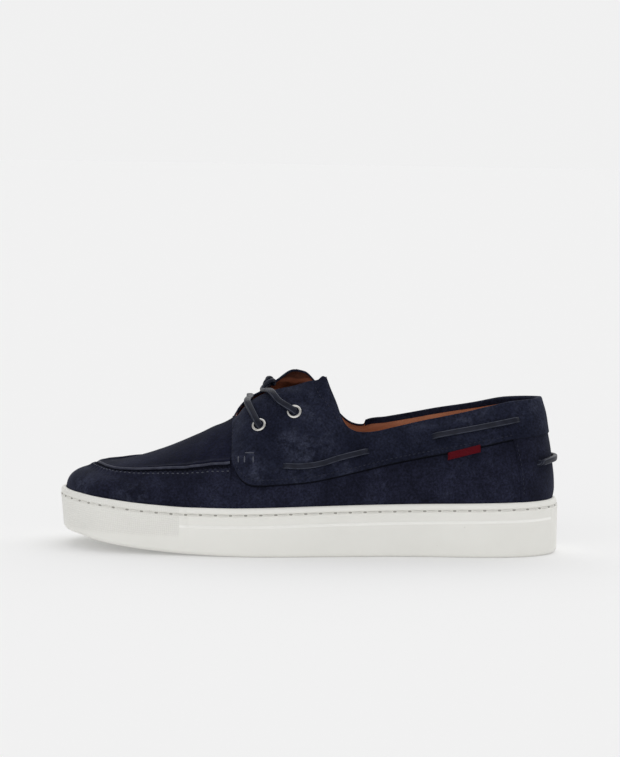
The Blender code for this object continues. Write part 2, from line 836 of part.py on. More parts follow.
def make_eyelets(walls):
    for end, along, *heights in zip(("front", "rear"), *EYELETS.values()):
        for (edge, side), height in zip((("outer", -1), ("inner", 1)), heights):
            seat, direction = eyelet_place(float(along), side, height)
            turn = direction.to_track_quat("Z", "Y")
            flange = seat + direction * (PANEL_LIFT + PANEL + GAP)
            made = eyelet(f"eyelet_{edge}_{end}")
            made.location, made.rotation_mode, made.rotation_quaternion = flange, "QUATERNION", turn
            shape = bmesh.new()
            radius = EYELET_HOLE / 2 + EYELET_RIM + GAP
            bmesh.ops.create_cone(
                shape, cap_ends=True, segments=12, radius1=radius, radius2=radius, depth=4 * EYELET_BARREL
            )
            hole = helper(f"hole_{edge}_{end}", shape)
            hole.location, hole.rotation_mode, hole.rotation_quaternion = seat, "QUATERNION", turn
            cut(walls["upper"], hole)
            cut(walls[edge], hole)


def eyelet(name):
    """Flanged metal ring with a barrel that passes through the quarter and the wall."""
    hole, edge, rim = EYELET_HOLE / 2, EYELET_WIDTH / 2, EYELET_RIM
    profile = [
        (hole, rim),
        (edge - rim, rim),
        (edge, 0.4 * rim),
        (edge, 0),
        (hole + rim * 0.6, 0),
        (hole + rim * 0.6, -EYELET_BARREL),
        (hole, -EYELET_BARREL),
    ]
    mesh = bpy.data.meshes.new(name)
    count = len(profile)
    mesh.from_pydata([(r, 0, z) for r, z in profile], [(i, (i + 1) % count) for i in range(count)], [])
    mesh.materials.append(material("metal"))
    made = bpy.data.objects.new(name, mesh)
    turn = made.modifiers.new("turn", "SCREW")
    turn.axis, turn.angle, turn.screw_offset = "Z", math.tau, 0
    turn.steps = turn.render_steps = 14
    turn.use_merge_vertices = True
    turn.merge_threshold = 1e-5
    turn.use_smooth_shade = True
    parts.objects.link(made)
    return made


def wall_route(rows, side, count=9):
    """Points over the panels along a table of places and heights."""
    marks = np.linspace(rows["along"][0], rows["along"][-1], count)
    heights = smooth_curve(rows["along"], rows["height"], marks) * HEEL_TOP
    return [on_wall(float(a), side, float(h), LACE_LIFT) for a, h in zip(marks, heights)]


def make_side_laces():
    for edge, side in (("outer", -1), ("inner", 1)):
        for end, rows in (("front", LACE_FRONT), ("rear", LACE_REAR)):
            tube(f"side_lace_{edge}_{end}", "lace", wall_route(rows, side), LACE)


def make_heel_loop():
    """Lace round the back of the heel, over the counter panel."""
    outer = wall_route(HEEL_LOOP, -1, 6)
    inner = wall_route(HEEL_LOOP, 1, 6)[-2::-1]
    tube("heel_lace", "lace", outer + inner, LACE)


def throat_point(along, height):
    x, corners = section(along, -1)
    return Vector((x, corners[3][0], height))


def make_laces():
    """Front bar and rear strands over the throat, joined where they meet, and the knot on top."""
    clear = PANEL_LIFT + PANEL + EYELET_RIM + 5 * GAP + LACE / 2
    bars = []
    for row, (edge, middle, height) in enumerate(zip(*LACE_MIDDLE.values())):
        along = float(EYELETS["along"][row]) + 2 * GAP / SOLE_LENGTH
        rise = [
            on_wall(along, side, float(EYELETS[column][row]) * HEEL_TOP, clear)
            for side, column in ((-1, "height_outer"), (1, "height_inner"))
        ]
        passing = [raised(float(edge), side, throat_u(edge, side) - LACE_BACK, clear + 2 * GAP) for side in (-1, 1)]
        top = throat_point(float(middle), height * HEEL_TOP)
        bars.append(tube(f"lace_{row}", "lace", [rise[0], passing[0], top, passing[1], rise[1]], LACE))
    front, rear = [as_mesh(bar) for bar in bars]
    front.name = "lace_crossing"
    rear.hide_render = True
    rear.display_type = "WIRE"
    parts.objects.unlink(rear)
    cutters.objects.link(rear)
    join = front.modifiers.new("join", "BOOLEAN")
    join.operation = "UNION"
    join.object = rear
    shape = bmesh.new()
    bmesh.ops.create_uvsphere(shape, u_segments=12, v_segments=8, radius=KNOT["size"] * LACE)
    bmesh.ops.scale(shape, vec=KNOT["stretch"], verts=shape.verts)
    knot = finish_mesh("lace_knot", "lace", shape)
    knot.location = throat_point(KNOT["along"], KNOT["height"] * HEEL_TOP)


def make_tab():
    """Plain woven tab held in the quarter's lower seam."""
    low = PANEL_LIFT + PANEL + GAP
    columns = []
    for share in (-0.5, -0.17, 0.17, 0.5):
        a = TAB["along"] + share * TAB_LENGTH / SOLE_LENGTH
        middle = TAB["height"] * HEEL_TOP + share * TAB_LENGTH * TAB["slope"]
        columns.append([(a, -1, u_at(a, -1, middle + k * TAB_WIDTH / 2, 1)) for k in (-1, 0, 1)])
    outer = [[raised(*spot, low + TAB_THICKNESS) for spot in column] for column in columns]
    inner = [[raised(*spot, low) for spot in column] for column in columns]
    loft("side_tab", "webbing", outer, inner)


parts = bpy.data.collections.new("boat_shoe")
cutters = bpy.data.collections.new("cutters")


def main():
    clear_scene()
    for group in (parts, cutters):
        bpy.context.scene.collection.children.link(group)
    make_outsole()
    make_insole()
    walls = {"upper": make_upper()}
    make_tongue()
    make_apron()
    walls["outer"] = make_quarter("quarter_outer", -1)
    walls["inner"] = make_quarter("quarter_inner", 1)
    make_heel_patch()
    make_eyelets(walls)
    make_laces()
    make_side_laces()
    make_heel_loop()
    make_tab()


main()
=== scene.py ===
"""Left boat shoe: navy suede with a hand-sewn apron, tan lining and dark laces on a pale rubber cup sole.

Metres, in the frame's own axes: the toe points to -X, the foot's outer side is -Y, the floor is z = 0.
"""

import math

import bmesh
import bpy
import numpy as np
from mathutils import Matrix, Vector


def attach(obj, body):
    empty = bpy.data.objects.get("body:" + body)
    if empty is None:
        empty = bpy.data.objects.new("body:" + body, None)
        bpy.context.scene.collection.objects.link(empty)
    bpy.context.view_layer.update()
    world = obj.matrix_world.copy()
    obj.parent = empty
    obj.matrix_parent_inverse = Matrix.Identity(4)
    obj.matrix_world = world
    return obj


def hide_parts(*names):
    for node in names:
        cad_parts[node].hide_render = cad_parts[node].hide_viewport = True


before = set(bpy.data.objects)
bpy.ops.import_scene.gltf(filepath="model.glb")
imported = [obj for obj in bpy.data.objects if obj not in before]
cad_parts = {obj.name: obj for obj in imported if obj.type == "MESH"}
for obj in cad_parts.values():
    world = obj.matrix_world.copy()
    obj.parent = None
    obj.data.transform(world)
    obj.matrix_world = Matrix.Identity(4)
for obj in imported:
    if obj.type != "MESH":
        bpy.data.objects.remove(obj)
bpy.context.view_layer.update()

# Camera: a long lens level with the shoe's outer side and a little above it, rolled a touch so that
# the floor runs the way it does in the picture.
CAMERA_PLACE = Vector((0.0002, -1.850, 0.2440))
CAMERA_TILT = math.radians(4.4)
CAMERA_ROLL = math.radians(0.95)
FRAME_WIDTH_PX = 620
FOCAL_PX = 3095
SENSOR_MM = 36.0

lens = bpy.data.cameras.new("camera")
lens.sensor_fit, lens.sensor_width = "HORIZONTAL", SENSOR_MM
lens.lens = SENSOR_MM * FOCAL_PX / FRAME_WIDTH_PX
lens.clip_start, lens.clip_end = 0.05, 60.0
camera = bpy.data.objects.new("camera", lens)
bpy.context.scene.collection.objects.link(camera)
camera.matrix_world = (
    Matrix.Translation(CAMERA_PLACE)
    @ Matrix.Rotation(math.pi / 2 - CAMERA_TILT, 4, "X")
    @ Matrix.Rotation(CAMERA_ROLL, 4, "Z")
)
bpy.context.scene.camera = camera

# Studio: a pale room that lights the shoe from all round, a wide soft lamp overhead and a low fill from the
# front. The paper on the floor also glows a little by itself: painted light that keeps its shadows soft.
BACKDROP = 0.875
ROOM_LIGHT = 0.54
TOP_LAMP = {"strength": 1.42, "spread": 85, "turn": (-0.55, 0.30)}
FRONT_LAMP = {"strength": 0.66, "spread": 60, "turn": (1.38, -0.25)}
FLOOR_SIZE = 60.0
FLOOR_GLOW = 0.19

scene = bpy.context.scene
scene.view_settings.view_transform = "Standard"
scene.view_settings.look = "None"


def add(tree, kind, inputs=None, **settings):
    """One shader node with its settings and inputs. An input is a value or another node's output."""
    made = tree.nodes.new("ShaderNode" + kind)
    for name, value in settings.items():
        setattr(made, name, value)
    for name, value in (inputs or {}).items():
        if isinstance(value, bpy.types.NodeSocket):
            tree.links.new(value, made.inputs[name])
        else:
            made.inputs[name].default_value = value
    return made


world = bpy.data.worlds.new("room")
scene.world = world
world.use_nodes = True
room = world.node_tree
room.nodes.clear()
seen = add(room, "Background", {"Color": (BACKDROP, BACKDROP, BACKDROP, 1), "Strength": 1.0})
lit = add(room, "Background", {"Color": (1, 1, 1, 1), "Strength": ROOM_LIGHT})
ray = add(room, "LightPath")
pick = add(room, "MixShader", {0: ray.outputs["Is Camera Ray"], 1: lit.outputs[0], 2: seen.outputs[0]})
add(room, "OutputWorld", {"Surface": pick.outputs[0]})

floor_light = ROOM_LIGHT
for name, facts in (("top_lamp", TOP_LAMP), ("front_lamp", FRONT_LAMP)):
    lamp = bpy.data.objects.new(name, bpy.data.lights.new(name, "SUN"))
    lamp.data.energy = facts["strength"]
    lamp.data.angle = math.radians(facts["spread"])
    forward, sideways = facts["turn"]
    lamp.rotation_euler = (forward, 0, sideways) if name == "front_lamp" else (forward, sideways, 0)
    scene.collection.objects.link(lamp)
    floor_light += facts["strength"] * lamp.rotation_euler.to_matrix()[2][2] / math.pi

floor_mesh = bpy.data.meshes.new("floor")
half = FLOOR_SIZE / 2
corners = [(-half, -half, 0), (half, -half, 0), (half, half, 0), (-half, half, 0)]
floor_mesh.from_pydata(corners, [], [(0, 1, 2, 3)])
floor = bpy.data.objects.new("floor", floor_mesh)
scene.collection.objects.link(floor)
paper = bpy.data.materials.new("paper_floor")
paper.use_nodes = True
grey = BACKDROP * (1 - FLOOR_GLOW) / floor_light
darker, paler = (grey * 0.998,) * 3 + (1,), (grey * 1.002,) * 3 + (1,)
grain = add(paper.node_tree, "TexNoise", {"Scale": 900.0, "Detail": 2.0})
tone = add(paper.node_tree, "MixRGB", {0: grain.outputs["Fac"], 1: darker, 2: paler})
sheet_face = paper.node_tree.nodes["Principled BSDF"]
paper.node_tree.links.new(tone.outputs[0], sheet_face.inputs["Base Color"])
sheet_face.inputs["Roughness"].default_value = 1.0
sheet_face.inputs["Specular IOR Level"].default_value = 0.0
# The floor's glow is painted light: it lifts the shadows on the floor
sheet_face.inputs["Emission Color"].default_value = (BACKDROP, BACKDROP, BACKDROP, 1)
sheet_face.inputs["Emission Strength"].default_value = FLOOR_GLOW
floor_mesh.materials.append(paper)

# Cup sole: one moulded piece of off-white rubber. A rounded lip stands round the upper, a stitched groove
# runs under it, and a low ledge goes round the side between the pimpled toe bumper and the heel.
SOLE_LENGTH = 0.300
BALL_WIDTH = 0.1070
HEEL_WIDTH = 0.0750
HEEL_HEIGHT = 0.0330
SOLE_FLOOR = 0.0090
LIP_INSET = 0.0018
TOE_INSET = 0.0015
TOE_LEAN = 0.0016
LIP_HEEL_INSET = 0.0008
GROOVE_DEPTH = 0.0011
LEDGE_DROP = 0.0112
LEDGE_DEPTH = 0.0011
BUMPER_END = 0.077
HEEL_BUMPER_START = 0.2954
BUMPER_STEP = 0.00050
EDGE_ROUND = 0.0030
ARCH_HOLLOW = 0.0022
TREAD_PITCH = 0.0125
TREAD_WIDTH = 0.0026
TREAD_DEPTH = 0.0016
TREAD_MARGIN = 0.0110
UPPER_INSET = 0.0045
UPPER_TOE_INSET = 0.0045
UPPER_HEEL_INSET = 0.0040
GAP = 0.0003


def table(columns, *rows):
    """Named columns of numbers from rows."""
    return dict(zip(columns.split(), np.array(rows, float).T))


# Half widths on the outer and inner side of the foot, as shares of the local width
PLAN = table(
    "along outer inner",
    (0.000, -0.065, 0.065),
    (0.010, 0.085, 0.215),
    (0.033, 0.200, 0.330),
    (0.083, 0.345, 0.430),
    (0.167, 0.432, 0.476),
    (0.250, 0.474, 0.489),
    (0.333, 0.503, 0.484),
    (0.400, 0.508, 0.460),
    (0.500, 0.500, 0.408),
    (0.600, 0.497, 0.386),
    (0.700, 0.503, 0.415),
    (0.800, 0.514, 0.475),
    (0.880, 0.488, 0.478),
    (0.940, 0.405, 0.402),
    (0.980, 0.258, 0.252),
    (1.000, 0.000, 0.000),
)
# The tread and the top of the wall, as shares of the heel height
SIDE = table(
    "along tread top",
    (0.000, 0.300, 1.062),
    (0.047, 0.250, 1.002),
    (0.077, 0.200, 0.978),
    (0.115, 0.148, 0.946),
    (0.160, 0.100, 0.908),
    (0.207, 0.063, 0.882),
    (0.270, 0.027, 0.859),
    (0.345, 0.006, 0.861),
    (0.400, 0.000, 0.872),
    (0.560, 0.000, 0.914),
    (0.720, 0.000, 0.946),
    (0.880, 0.000, 0.978),
    (1.000, 0.000, 1.012),
)


def smooth_curve(xs, ys, at):
    """Cubic through the points that never overshoots them."""
    step = np.diff(xs)
    rate = np.diff(ys) / step
    slope = np.concatenate(([rate[0]], np.zeros(len(xs) - 2), [rate[-1]]))
    for i in range(1, len(xs) - 1):
        if rate[i - 1] * rate[i] > 0:
            before, after = 2 * step[i] + step[i - 1], step[i] + 2 * step[i - 1]
            slope[i] = (before + after) / (before / rate[i - 1] + after / rate[i])
    at = np.clip(at, xs[0], xs[-1])
    i = np.clip(np.searchsorted(xs, at) - 1, 0, len(step) - 1)
    u = (at - xs[i]) / step[i]
    rest = 1 - u
    ends = ys[i] * (1 + 2 * u) * rest**2 + ys[i + 1] * (3 - 2 * u) * u**2
    return ends + step[i] * u * rest * (slope[i] * rest - slope[i + 1] * u)


def read(rows, column, along):
    """A table's column at shares of the length, with both ends of the shoe coming out round."""
    turned = np.arccos(1 - 2 * np.clip(along, 0, 1))
    return smooth_curve(np.arccos(1 - 2 * rows["along"]), rows[column], turned)


def ease(value, low, high):
    """0 below low, 1 above high, smooth between them."""
    share = np.clip((value - low) / (high - low), 0, 1)
    return share * share * (3 - 2 * share)


def along_of(turn):
    """Share of the length at a turn round the outline."""
    return (1 - np.cos(turn)) / 2


def outline(turn, inset, toe_inset, heel_inset):
    """Points of the outline from above. turn goes round it once: toe, outer side, heel, inner side."""
    along = along_of(turn)
    outer = np.sin(turn) >= 0
    width = BALL_WIDTH + (HEEL_WIDTH - BALL_WIDTH) * ease(along, 0.35, 0.80)
    half = np.where(outer, read(PLAN, "outer", along), read(PLAN, "inner", along)) * width
    start, end = -SOLE_LENGTH / 2 + toe_inset, SOLE_LENGTH / 2 - heel_inset
    y = np.where(outer, -1, 1) * (half - inset * np.abs(np.sin(turn)))
    return start + (end - start) * along, y


def tread_height(x):
    return HEEL_HEIGHT * read(SIDE, "tread", x / SOLE_LENGTH + 0.5)


def wall_top(x):
    return HEEL_HEIGHT * read(SIDE, "top", x / SOLE_LENGTH + 0.5)


def cup_floor(x):
    return tread_height(x) + SOLE_FLOOR


def lengths(points):
    """Distance along each column of points from its first row."""
    steps = np.linalg.norm(np.diff(points, axis=0), axis=-1)
    return np.concatenate([np.zeros((1,) + steps.shape[1:]), np.cumsum(steps, axis=0)])


def skin(points, uv=None, finish=0, flip=False):
    """A surface from points in rows and columns, with its UVs in metres."""
    if uv is None:
        across = lengths(points.swapaxes(0, 1)).swapaxes(0, 1)
        middle = np.broadcast_to(across[len(across) // 2], across.shape)
        uv = np.stack([middle, lengths(points)], -1)
    rows, columns = points.shape[:2]
    index = np.arange(rows * columns).reshape(rows, columns)
    faces = np.stack([index[:-1, :-1], index[:-1, 1:], index[1:, 1:], index[1:, :-1]], -1).reshape(-1, 4)
    if flip:
        faces = faces[:, ::-1]
    return points.reshape(-1, 3), uv.reshape(-1, 2), faces, finish


def assemble(name, skins, finishes, sharp=40, weld=1.5e-6):
    """One mesh object from several surfaces, welded where they meet."""
    points = np.concatenate([s[0] for s in skins])
    uvs = np.concatenate([s[1] for s in skins])
    starts = np.cumsum([0] + [len(s[0]) for s in skins[:-1]])
    faces = np.concatenate([s[2] + start for s, start in zip(skins, starts)])
    mesh = bpy.data.meshes.new(name)
    mesh.vertices.add(len(points))
    mesh.vertices.foreach_set("co", points.astype(np.float32).ravel())
    mesh.loops.add(faces.size)
    mesh.loops.foreach_set("vertex_index", faces.astype(np.int32).ravel())
    mesh.polygons.add(len(faces))
    mesh.polygons.foreach_set("loop_start", np.arange(0, faces.size, 4, dtype=np.int32))
    face_finish = np.repeat([s[3] for s in skins], [len(s[2]) for s in skins]).astype(np.int32)
    mesh.polygons.foreach_set("material_index", face_finish)
    mesh.uv_layers.new(name="metres").data.foreach_set("uv", uvs[faces.ravel()].astype(np.float32).ravel())
    mesh.update(calc_edges=True)
    shape = bmesh.new()
    shape.from_mesh(mesh)
    bmesh.ops.remove_doubles(shape, verts=shape.verts, dist=weld)
    bmesh.ops.dissolve_degenerate(shape, edges=shape.edges, dist=5e-7)
    bmesh.ops.recalc_face_normals(shape, faces=shape.faces)
    shape.to_mesh(mesh)
    shape.free()
    mesh.shade_smooth()
    mesh.set_sharp_from_angle(angle=math.radians(sharp))
    for finish in finishes:
        mesh.materials.append(finish)
    made = bpy.data.objects.new(name, mesh)
    scene.collection.objects.link(made)
    return made


def dress(piece, slot_name, *nodes):
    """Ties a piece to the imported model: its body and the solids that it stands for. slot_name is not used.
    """
    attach(piece, "root")
    if nodes:
        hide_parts(*nodes)
    return piece


def sole_profile(turn):
    """Rows of the side wall from the tread's edge over the lip and down into the cup."""
    rows = []
    along = along_of(turn)
    length = along * SOLE_LENGTH
    bumper = 1 - ease(length, BUMPER_END, BUMPER_END + 0.0006) * (
        1 - ease(length, HEEL_BUMPER_START - 0.0005, HEEL_BUMPER_START)
    )
    step = BUMPER_STEP * (1 - bumper)
    ledge = LEDGE_DEPTH * (1 - bumper)
    for k in range(7):
        corner = math.pi / 2 * k / 6
        rows.append((0, EDGE_ROUND * (1 - math.cos(corner)), EDGE_ROUND * (1 - math.sin(corner)) + step, 0))
    band = (
        (-0.0200, 0.00), (-0.0150, 0.00), (-LEDGE_DROP - 0.0010, 0.00), (-LEDGE_DROP - 0.0003, 0.04),
        (-LEDGE_DROP - 0.0001, 0.20), (-LEDGE_DROP + 0.0002, 0.58), (-LEDGE_DROP + 0.0005, 0.98),
        (-LEDGE_DROP + 0.0008, 1.16), (-0.0085, 1.00), (-0.0068, 1.00),
    )
    for drop, share in band:
        rows.append((1, drop, ledge * share + step, 0.0))
    groove = (
        (-0.0060, -0.05, 0.05), (-0.0056, -0.34, 0.08), (-0.0053, -0.36, 0.12), (-0.0050, -0.14, 0.18),
        (-0.0047, 0.40, 0.26), (-0.0043, 0.85, 0.32), (-0.0038, 0.95, 0.38), (-0.0035, 0.62, 0.44),
        (-0.0032, 0.16, 0.50), (-0.0028, -0.04, 0.56), (-0.0022, -0.02, 0.62), (-0.0016, 0.06, 0.70),
        (-0.0010, 0.26, 0.80), (-0.0006, 0.56, 0.88), (-0.0002, 1.05, 0.96), (0.0, 1.60, 1.05),
    )
    shallow = 0.45 + 0.55 * ease(length, 0.012, 0.080)
    for drop, depth, lip in groove:
        deep = depth * GROOVE_DEPTH * (shallow if drop < -0.0026 else 0.8)
        rows.append((1, drop, ledge + deep + step, lip))
    points = []
    for datum, offset, inset, lip in rows:
        side_inset = inset + lip * (LIP_INSET - LEDGE_DEPTH) * 0.6
        tip = float(np.atleast_1d(inset)[0])
        lean = 1.0 if datum == 0 else np.clip((-offset - 0.006) / 0.016, 0, 1)
        toe = tip + TOE_INSET + TOE_LEAN * lean
        heel = tip + lip * LIP_HEEL_INSET
        x, y = outline(turn, side_inset, toe, heel)
        base = wall_top(x) if datum else tread_height(x)
        low = tread_height(x) + EDGE_ROUND
        z = np.where(datum == 1, np.maximum(base + offset, low + 0.0002 * len(points)), base + offset)
        points.append(np.stack([x, y, z], -1))
    x, y = outline(turn, UPPER_INSET - GAP, UPPER_TOE_INSET - GAP, UPPER_HEEL_INSET - GAP)
    for z in (wall_top(x), wall_top(x) - 0.004, cup_floor(x)):
        points.append(np.stack([x, y, z], -1))
    return np.array(points)


def across_grid(loop, shares, lift):
    """Surface that closes a loop, from its outer side to its inner side."""
    count = (loop.shape[0] - 1) // 2
    outer, inner = loop[: count + 1], loop[-1 : count - 1 : -1]
    shares = np.asarray(shares)[:, None, None]
    points = outer[None] * (1 - shares) + inner[None] * shares
    points[..., 2] += lift(points)
    return points


def tread_lift(points):
    """Wavy grooves under the ball and the heel, and the hollow under the waist."""
    x, y = points[..., 0], points[..., 1]
    share = x / SOLE_LENGTH + 0.5
    edge = np.minimum(y - y[:1], y[-1:] - y)
    wave = np.abs(np.mod(y / 0.024, 1) - 0.5) * 2 - 0.5
    inside = ease(edge, TREAD_MARGIN - 0.0015, TREAD_MARGIN)
    row = (share * SOLE_LENGTH - 0.060 - 0.5 * TREAD_PITCH * wave) / TREAD_PITCH
    near = np.abs(row - np.round(row)) * TREAD_PITCH
    rows = ((np.round(row) >= 0) & (np.round(row) <= 6)) | ((np.round(row) >= 13) & (np.round(row) <= 17))
    groove = TREAD_DEPTH * (1 - ease(near, TREAD_WIDTH * 0.38, TREAD_WIDTH * 0.62)) * inside * rows
    middle = np.clip(edge / 0.02, 0, 1) ** 0.7
    hollow = ARCH_HOLLOW * ease(share, 0.52, 0.58) * (1 - ease(share, 0.66, 0.72)) * middle
    return groove + hollow


SOLE_STEPS = 720
sole_turn = np.linspace(0, math.tau, SOLE_STEPS + 1)
wall = sole_profile(sole_turn)
shares = np.concatenate([[0, 0.01, 0.03], np.linspace(0.06, 0.94, 84), [0.97, 0.99, 1]])
bottom = across_grid(wall[0], shares, tread_lift)
cup = across_grid(wall[-1], [0, 0.5, 1], lambda points: 0)


def group(name, ins, outs):
    """Empty node group with named sockets. ins and outs map names to socket kinds or default values."""
    made = bpy.data.node_groups.new(name, "ShaderNodeTree")
    for label, default in ins.items():
        kind = "NodeSocketColor" if isinstance(default, tuple) and len(default) == 4 else "NodeSocketFloat"
        made.interface.new_socket(label, in_out="INPUT", socket_type=kind).default_value = default
    for label, kind in outs.items():
        made.interface.new_socket(label, in_out="OUTPUT", socket_type="NodeSocket" + kind)
    return made, made.nodes.new("NodeGroupInput").outputs, made.nodes.new("NodeGroupOutput")


def calc(tree, operation, *values):
    """Result of one maths node."""
    return add(tree, "Math", dict(enumerate(values)), operation=operation).outputs[0]


def times(tree, product, *factors):
    """Product of several values."""
    for factor in factors:
        product = calc(tree, "MULTIPLY", product, factor)
    return product


def ramp(tree, value, low, high, start=0.0, end=1.0):
    """Goes smoothly from start to end while a value goes from low to high."""
    span = {"Value": value, "From Min": low, "From Max": high, "To Min": start, "To Max": end}
    return add(tree, "MapRange", span, interpolation_type="SMOOTHSTEP").outputs[0]


def mixed(tree, share, first, second, mode="MIX"):
    """Mix of two colours."""
    return add(tree, "MixRGB", {0: share, 1: first, 2: second}, blend_type=mode).outputs[0]


def spot_of(tree):
    """Where each point of the piece lies."""
    return add(tree, "TexCoord").outputs["Object"]


def noise(tree, at, scale, detail=2.0, roughness=0.5):
    """Soft noise over a surface."""
    look = {"Vector": at, "Scale": scale, "Detail": detail, "Roughness": roughness}
    return add(tree, "TexNoise", look).outputs["Fac"]


def use(tree, made, **inputs):
    """Places a node group in a material, with its own values."""
    placed = tree.nodes.new("ShaderNodeGroup")
    placed.node_tree = made
    for label, value in inputs.items():
        socket = placed.inputs[label.replace("_", " ")]
        if isinstance(value, bpy.types.NodeSocket):
            tree.links.new(value, socket)
        else:
            socket.default_value = value
    return placed.outputs


def finish_of(name, roughness, bump_distance=0.0002, **constants):
    """New material, with its tree, its Principled shader and a bump node whose height is still free."""
    made = bpy.data.materials.new(name)
    made.use_nodes = True
    tree = made.node_tree
    shader = tree.nodes["Principled BSDF"]
    shader.inputs["Roughness"].default_value = roughness
    for label, value in constants.items():
        shader.inputs[label.replace("_", " ")].default_value = value
    bump = add(tree, "Bump", {"Strength": 1.0, "Distance": bump_distance})
    tree.links.new(bump.outputs[0], shader.inputs["Normal"])
    return made, tree, shader, bump


def paint(tree, shader, share, dark, light):
    """Colours a finish between two tones."""
    tree.links.new(mixed(tree, share, (*dark, 1), (*light, 1)), shader.inputs["Base Color"])


# Grime that any pale or smooth surface picks up: soft blotches and a few small specks
grime, given, out = group("grime", {"Scale": 60.0, "Specks": 0.5}, {"Blotch": "Float", "Speck": "Float"})
spot = spot_of(grime)
blotch = noise(grime, spot, given["Scale"], 4.0, 0.6)
grime.links.new(ramp(grime, blotch, 0.42, 0.72), out.inputs["Blotch"])
cells = add(grime, "TexVoronoi", {"Vector": spot, "Scale": 130.0, "Randomness": 1.0})
few = noise(grime, spot, 34.0, 1.0)
dots = ramp(grime, cells.outputs["Distance"], 0.03, 0.09, 1.0, 0.0)
specks = times(grime, dots, ramp(grime, few, 0.60, 0.66), given["Specks"])
grime.links.new(specks, out.inputs["Speck"])

# Rubber: moulded grain, diamond pimples on the toe bumper with painted shade in their hollows, and a painted
# highlight along the ledge's edge
PIMPLE = 0.00177
rubber, tree, shader, bump = finish_of("off_white_rubber", 0.52, 0.00012, Specular_IOR_Level=0.38)
worn = use(tree, grime, Scale=22.0, Specks=0.55)
body_tone = mixed(tree, worn["Blotch"], (0.892, 0.886, 0.842, 1), (0.868, 0.860, 0.816, 1))
dusty = mixed(tree, worn["Speck"], body_tone, (0.36, 0.35, 0.33, 1))
tree.links.new(ramp(tree, worn["Blotch"], 0.0, 1.0, 0.50, 0.60), shader.inputs["Roughness"])
spot = spot_of(tree)
fine, moulded = noise(tree, spot, 2600.0), noise(tree, spot, 420.0, 3.0)
base_height = calc(tree, "MULTIPLY_ADD", moulded, 0.25, times(tree, fine, 0.12))
metres = add(tree, "UVMap", uv_map="metres").outputs[0]
axes = add(tree, "SeparateXYZ", {0: metres}).outputs
per_metre = math.tau / (PIMPLE * 1.414)
slant = [
    calc(tree, "SINE", times(tree, calc(tree, how, axes[0], axes[1]), per_metre))
    for how in ("ADD", "SUBTRACT")
]
pimples = times(tree, *slant)
place = add(tree, "SeparateXYZ", {0: spot}).outputs
toe_edge = BUMPER_END - SOLE_LENGTH / 2 - 0.0016
heel_edge = HEEL_BUMPER_START - SOLE_LENGTH / 2
toe_part = ramp(tree, place[0], toe_edge - 0.0008, toe_edge, 1.0, 0.0)
heel_side = ramp(tree, place[0], heel_edge - 0.0004, heel_edge, 1.0, 0.0)
above = ramp(tree, place[2], 0.010, 0.013)
pimpled = times(tree, pimples, toe_part, above, 0.9)
tree.links.new(calc(tree, "ADD", base_height, pimpled), bump.inputs["Height"])
# Painted shade in the hollows between the pimples
hollow = times(tree, calc(tree, "MULTIPLY_ADD", pimples, -0.5, 0.5), toe_part, above)
shaded_pimples = mixed(tree, times(tree, hollow, 0.16), dusty, (0.45, 0.44, 0.41, 1))
# Painted highlight: a paler line along the ledge's edge, where the top light catches it
beyond = calc(tree, "ABSOLUTE", calc(tree, "ADD", axes[1], LEDGE_DROP - 0.0002))
plain_side = times(tree, calc(tree, "SUBTRACT", 1.0, toe_part), heel_side, above)
ledge_highlight = times(tree, ramp(tree, beyond, 0.0004, 0.0010, 1.0, 0.0), plain_side)
tree.links.new(mixed(tree, ledge_highlight, shaded_pimples, (0.985, 0.980, 0.945, 1)), shader.inputs["Base Color"])

SIDE_ROW = 12
round_wall = lengths(wall.swapaxes(0, 1)).swapaxes(0, 1)[SIDE_ROW]
under_lip = wall[..., 2] - wall_top(wall[..., 0])
wall_uv = np.stack([np.broadcast_to(round_wall, wall.shape[:2]), under_lip], -1)
sole = assemble(
    "cup_sole",
    [skin(wall, wall_uv), skin(bottom, bottom[..., :2], flip=True), skin(cup, cup[..., :2])],
    [rubber],
    sharp=50,
)
dress(sole, "rubber", "outsole")

# Sole stitches: thick pale thread laid in the groove, going down through a needle hole at each end. Each
# hole is drawn as a grey dash of painted shade.
SOLE_STITCH_PITCH = 0.0089
SOLE_STITCH_START = 0.50
SOLE_THREAD = (0.0011, 0.0010)
NEEDLE_HOLE = (0.0026, 0.0011, 0.0007)
GROOVE_ROW = 22


def twisted_thread(name, roughness, bump_distance, twist, wander, dark, light, **constants):
    """Finish of a thread: its twisted strands lie aslant, with painted shade between them."""
    made, tree, shader, bump = finish_of(name, roughness, bump_distance, **constants)
    waves = {"Vector": spot_of(tree), "Scale": twist, "Distortion": wander}
    ply = add(tree, "TexWave", waves, bands_direction="DIAGONAL").outputs["Fac"]
    paint(tree, shader, ply, dark, light)
    tree.links.new(ply, bump.inputs["Height"])
    return made


thread_pale = twisted_thread("pale_thread", 0.75, 0.0001, 900.0, 2.0, (0.74, 0.73, 0.69), (0.86, 0.85, 0.81))
# The needle holes are grey dashes of painted shade
needle_hole_shade, tree, shader, bump = finish_of("needle_hole_shade", 0.9, 0.0001, Specular_IOR_Level=0.1)
pit = add(tree, "TexNoise", {"Scale": 800.0}).outputs["Fac"]
paint(tree, shader, pit, (0.290, 0.282, 0.258), (0.430, 0.420, 0.390))


def at_length(points, distances):
    """Points along a line at given distances from its start, and the directions there."""
    along = lengths(points)
    spots = np.stack([np.interp(distances, along, points[:, k]) for k in range(3)], -1)
    ahead = np.stack([np.interp(distances + 2e-4, along, points[:, k]) for k in range(3)], -1)
    behind = np.stack([np.interp(distances - 2e-4, along, points[:, k]) for k in range(3)], -1)
    heading = ahead - behind
    return spots, heading / np.linalg.norm(heading, axis=-1, keepdims=True)


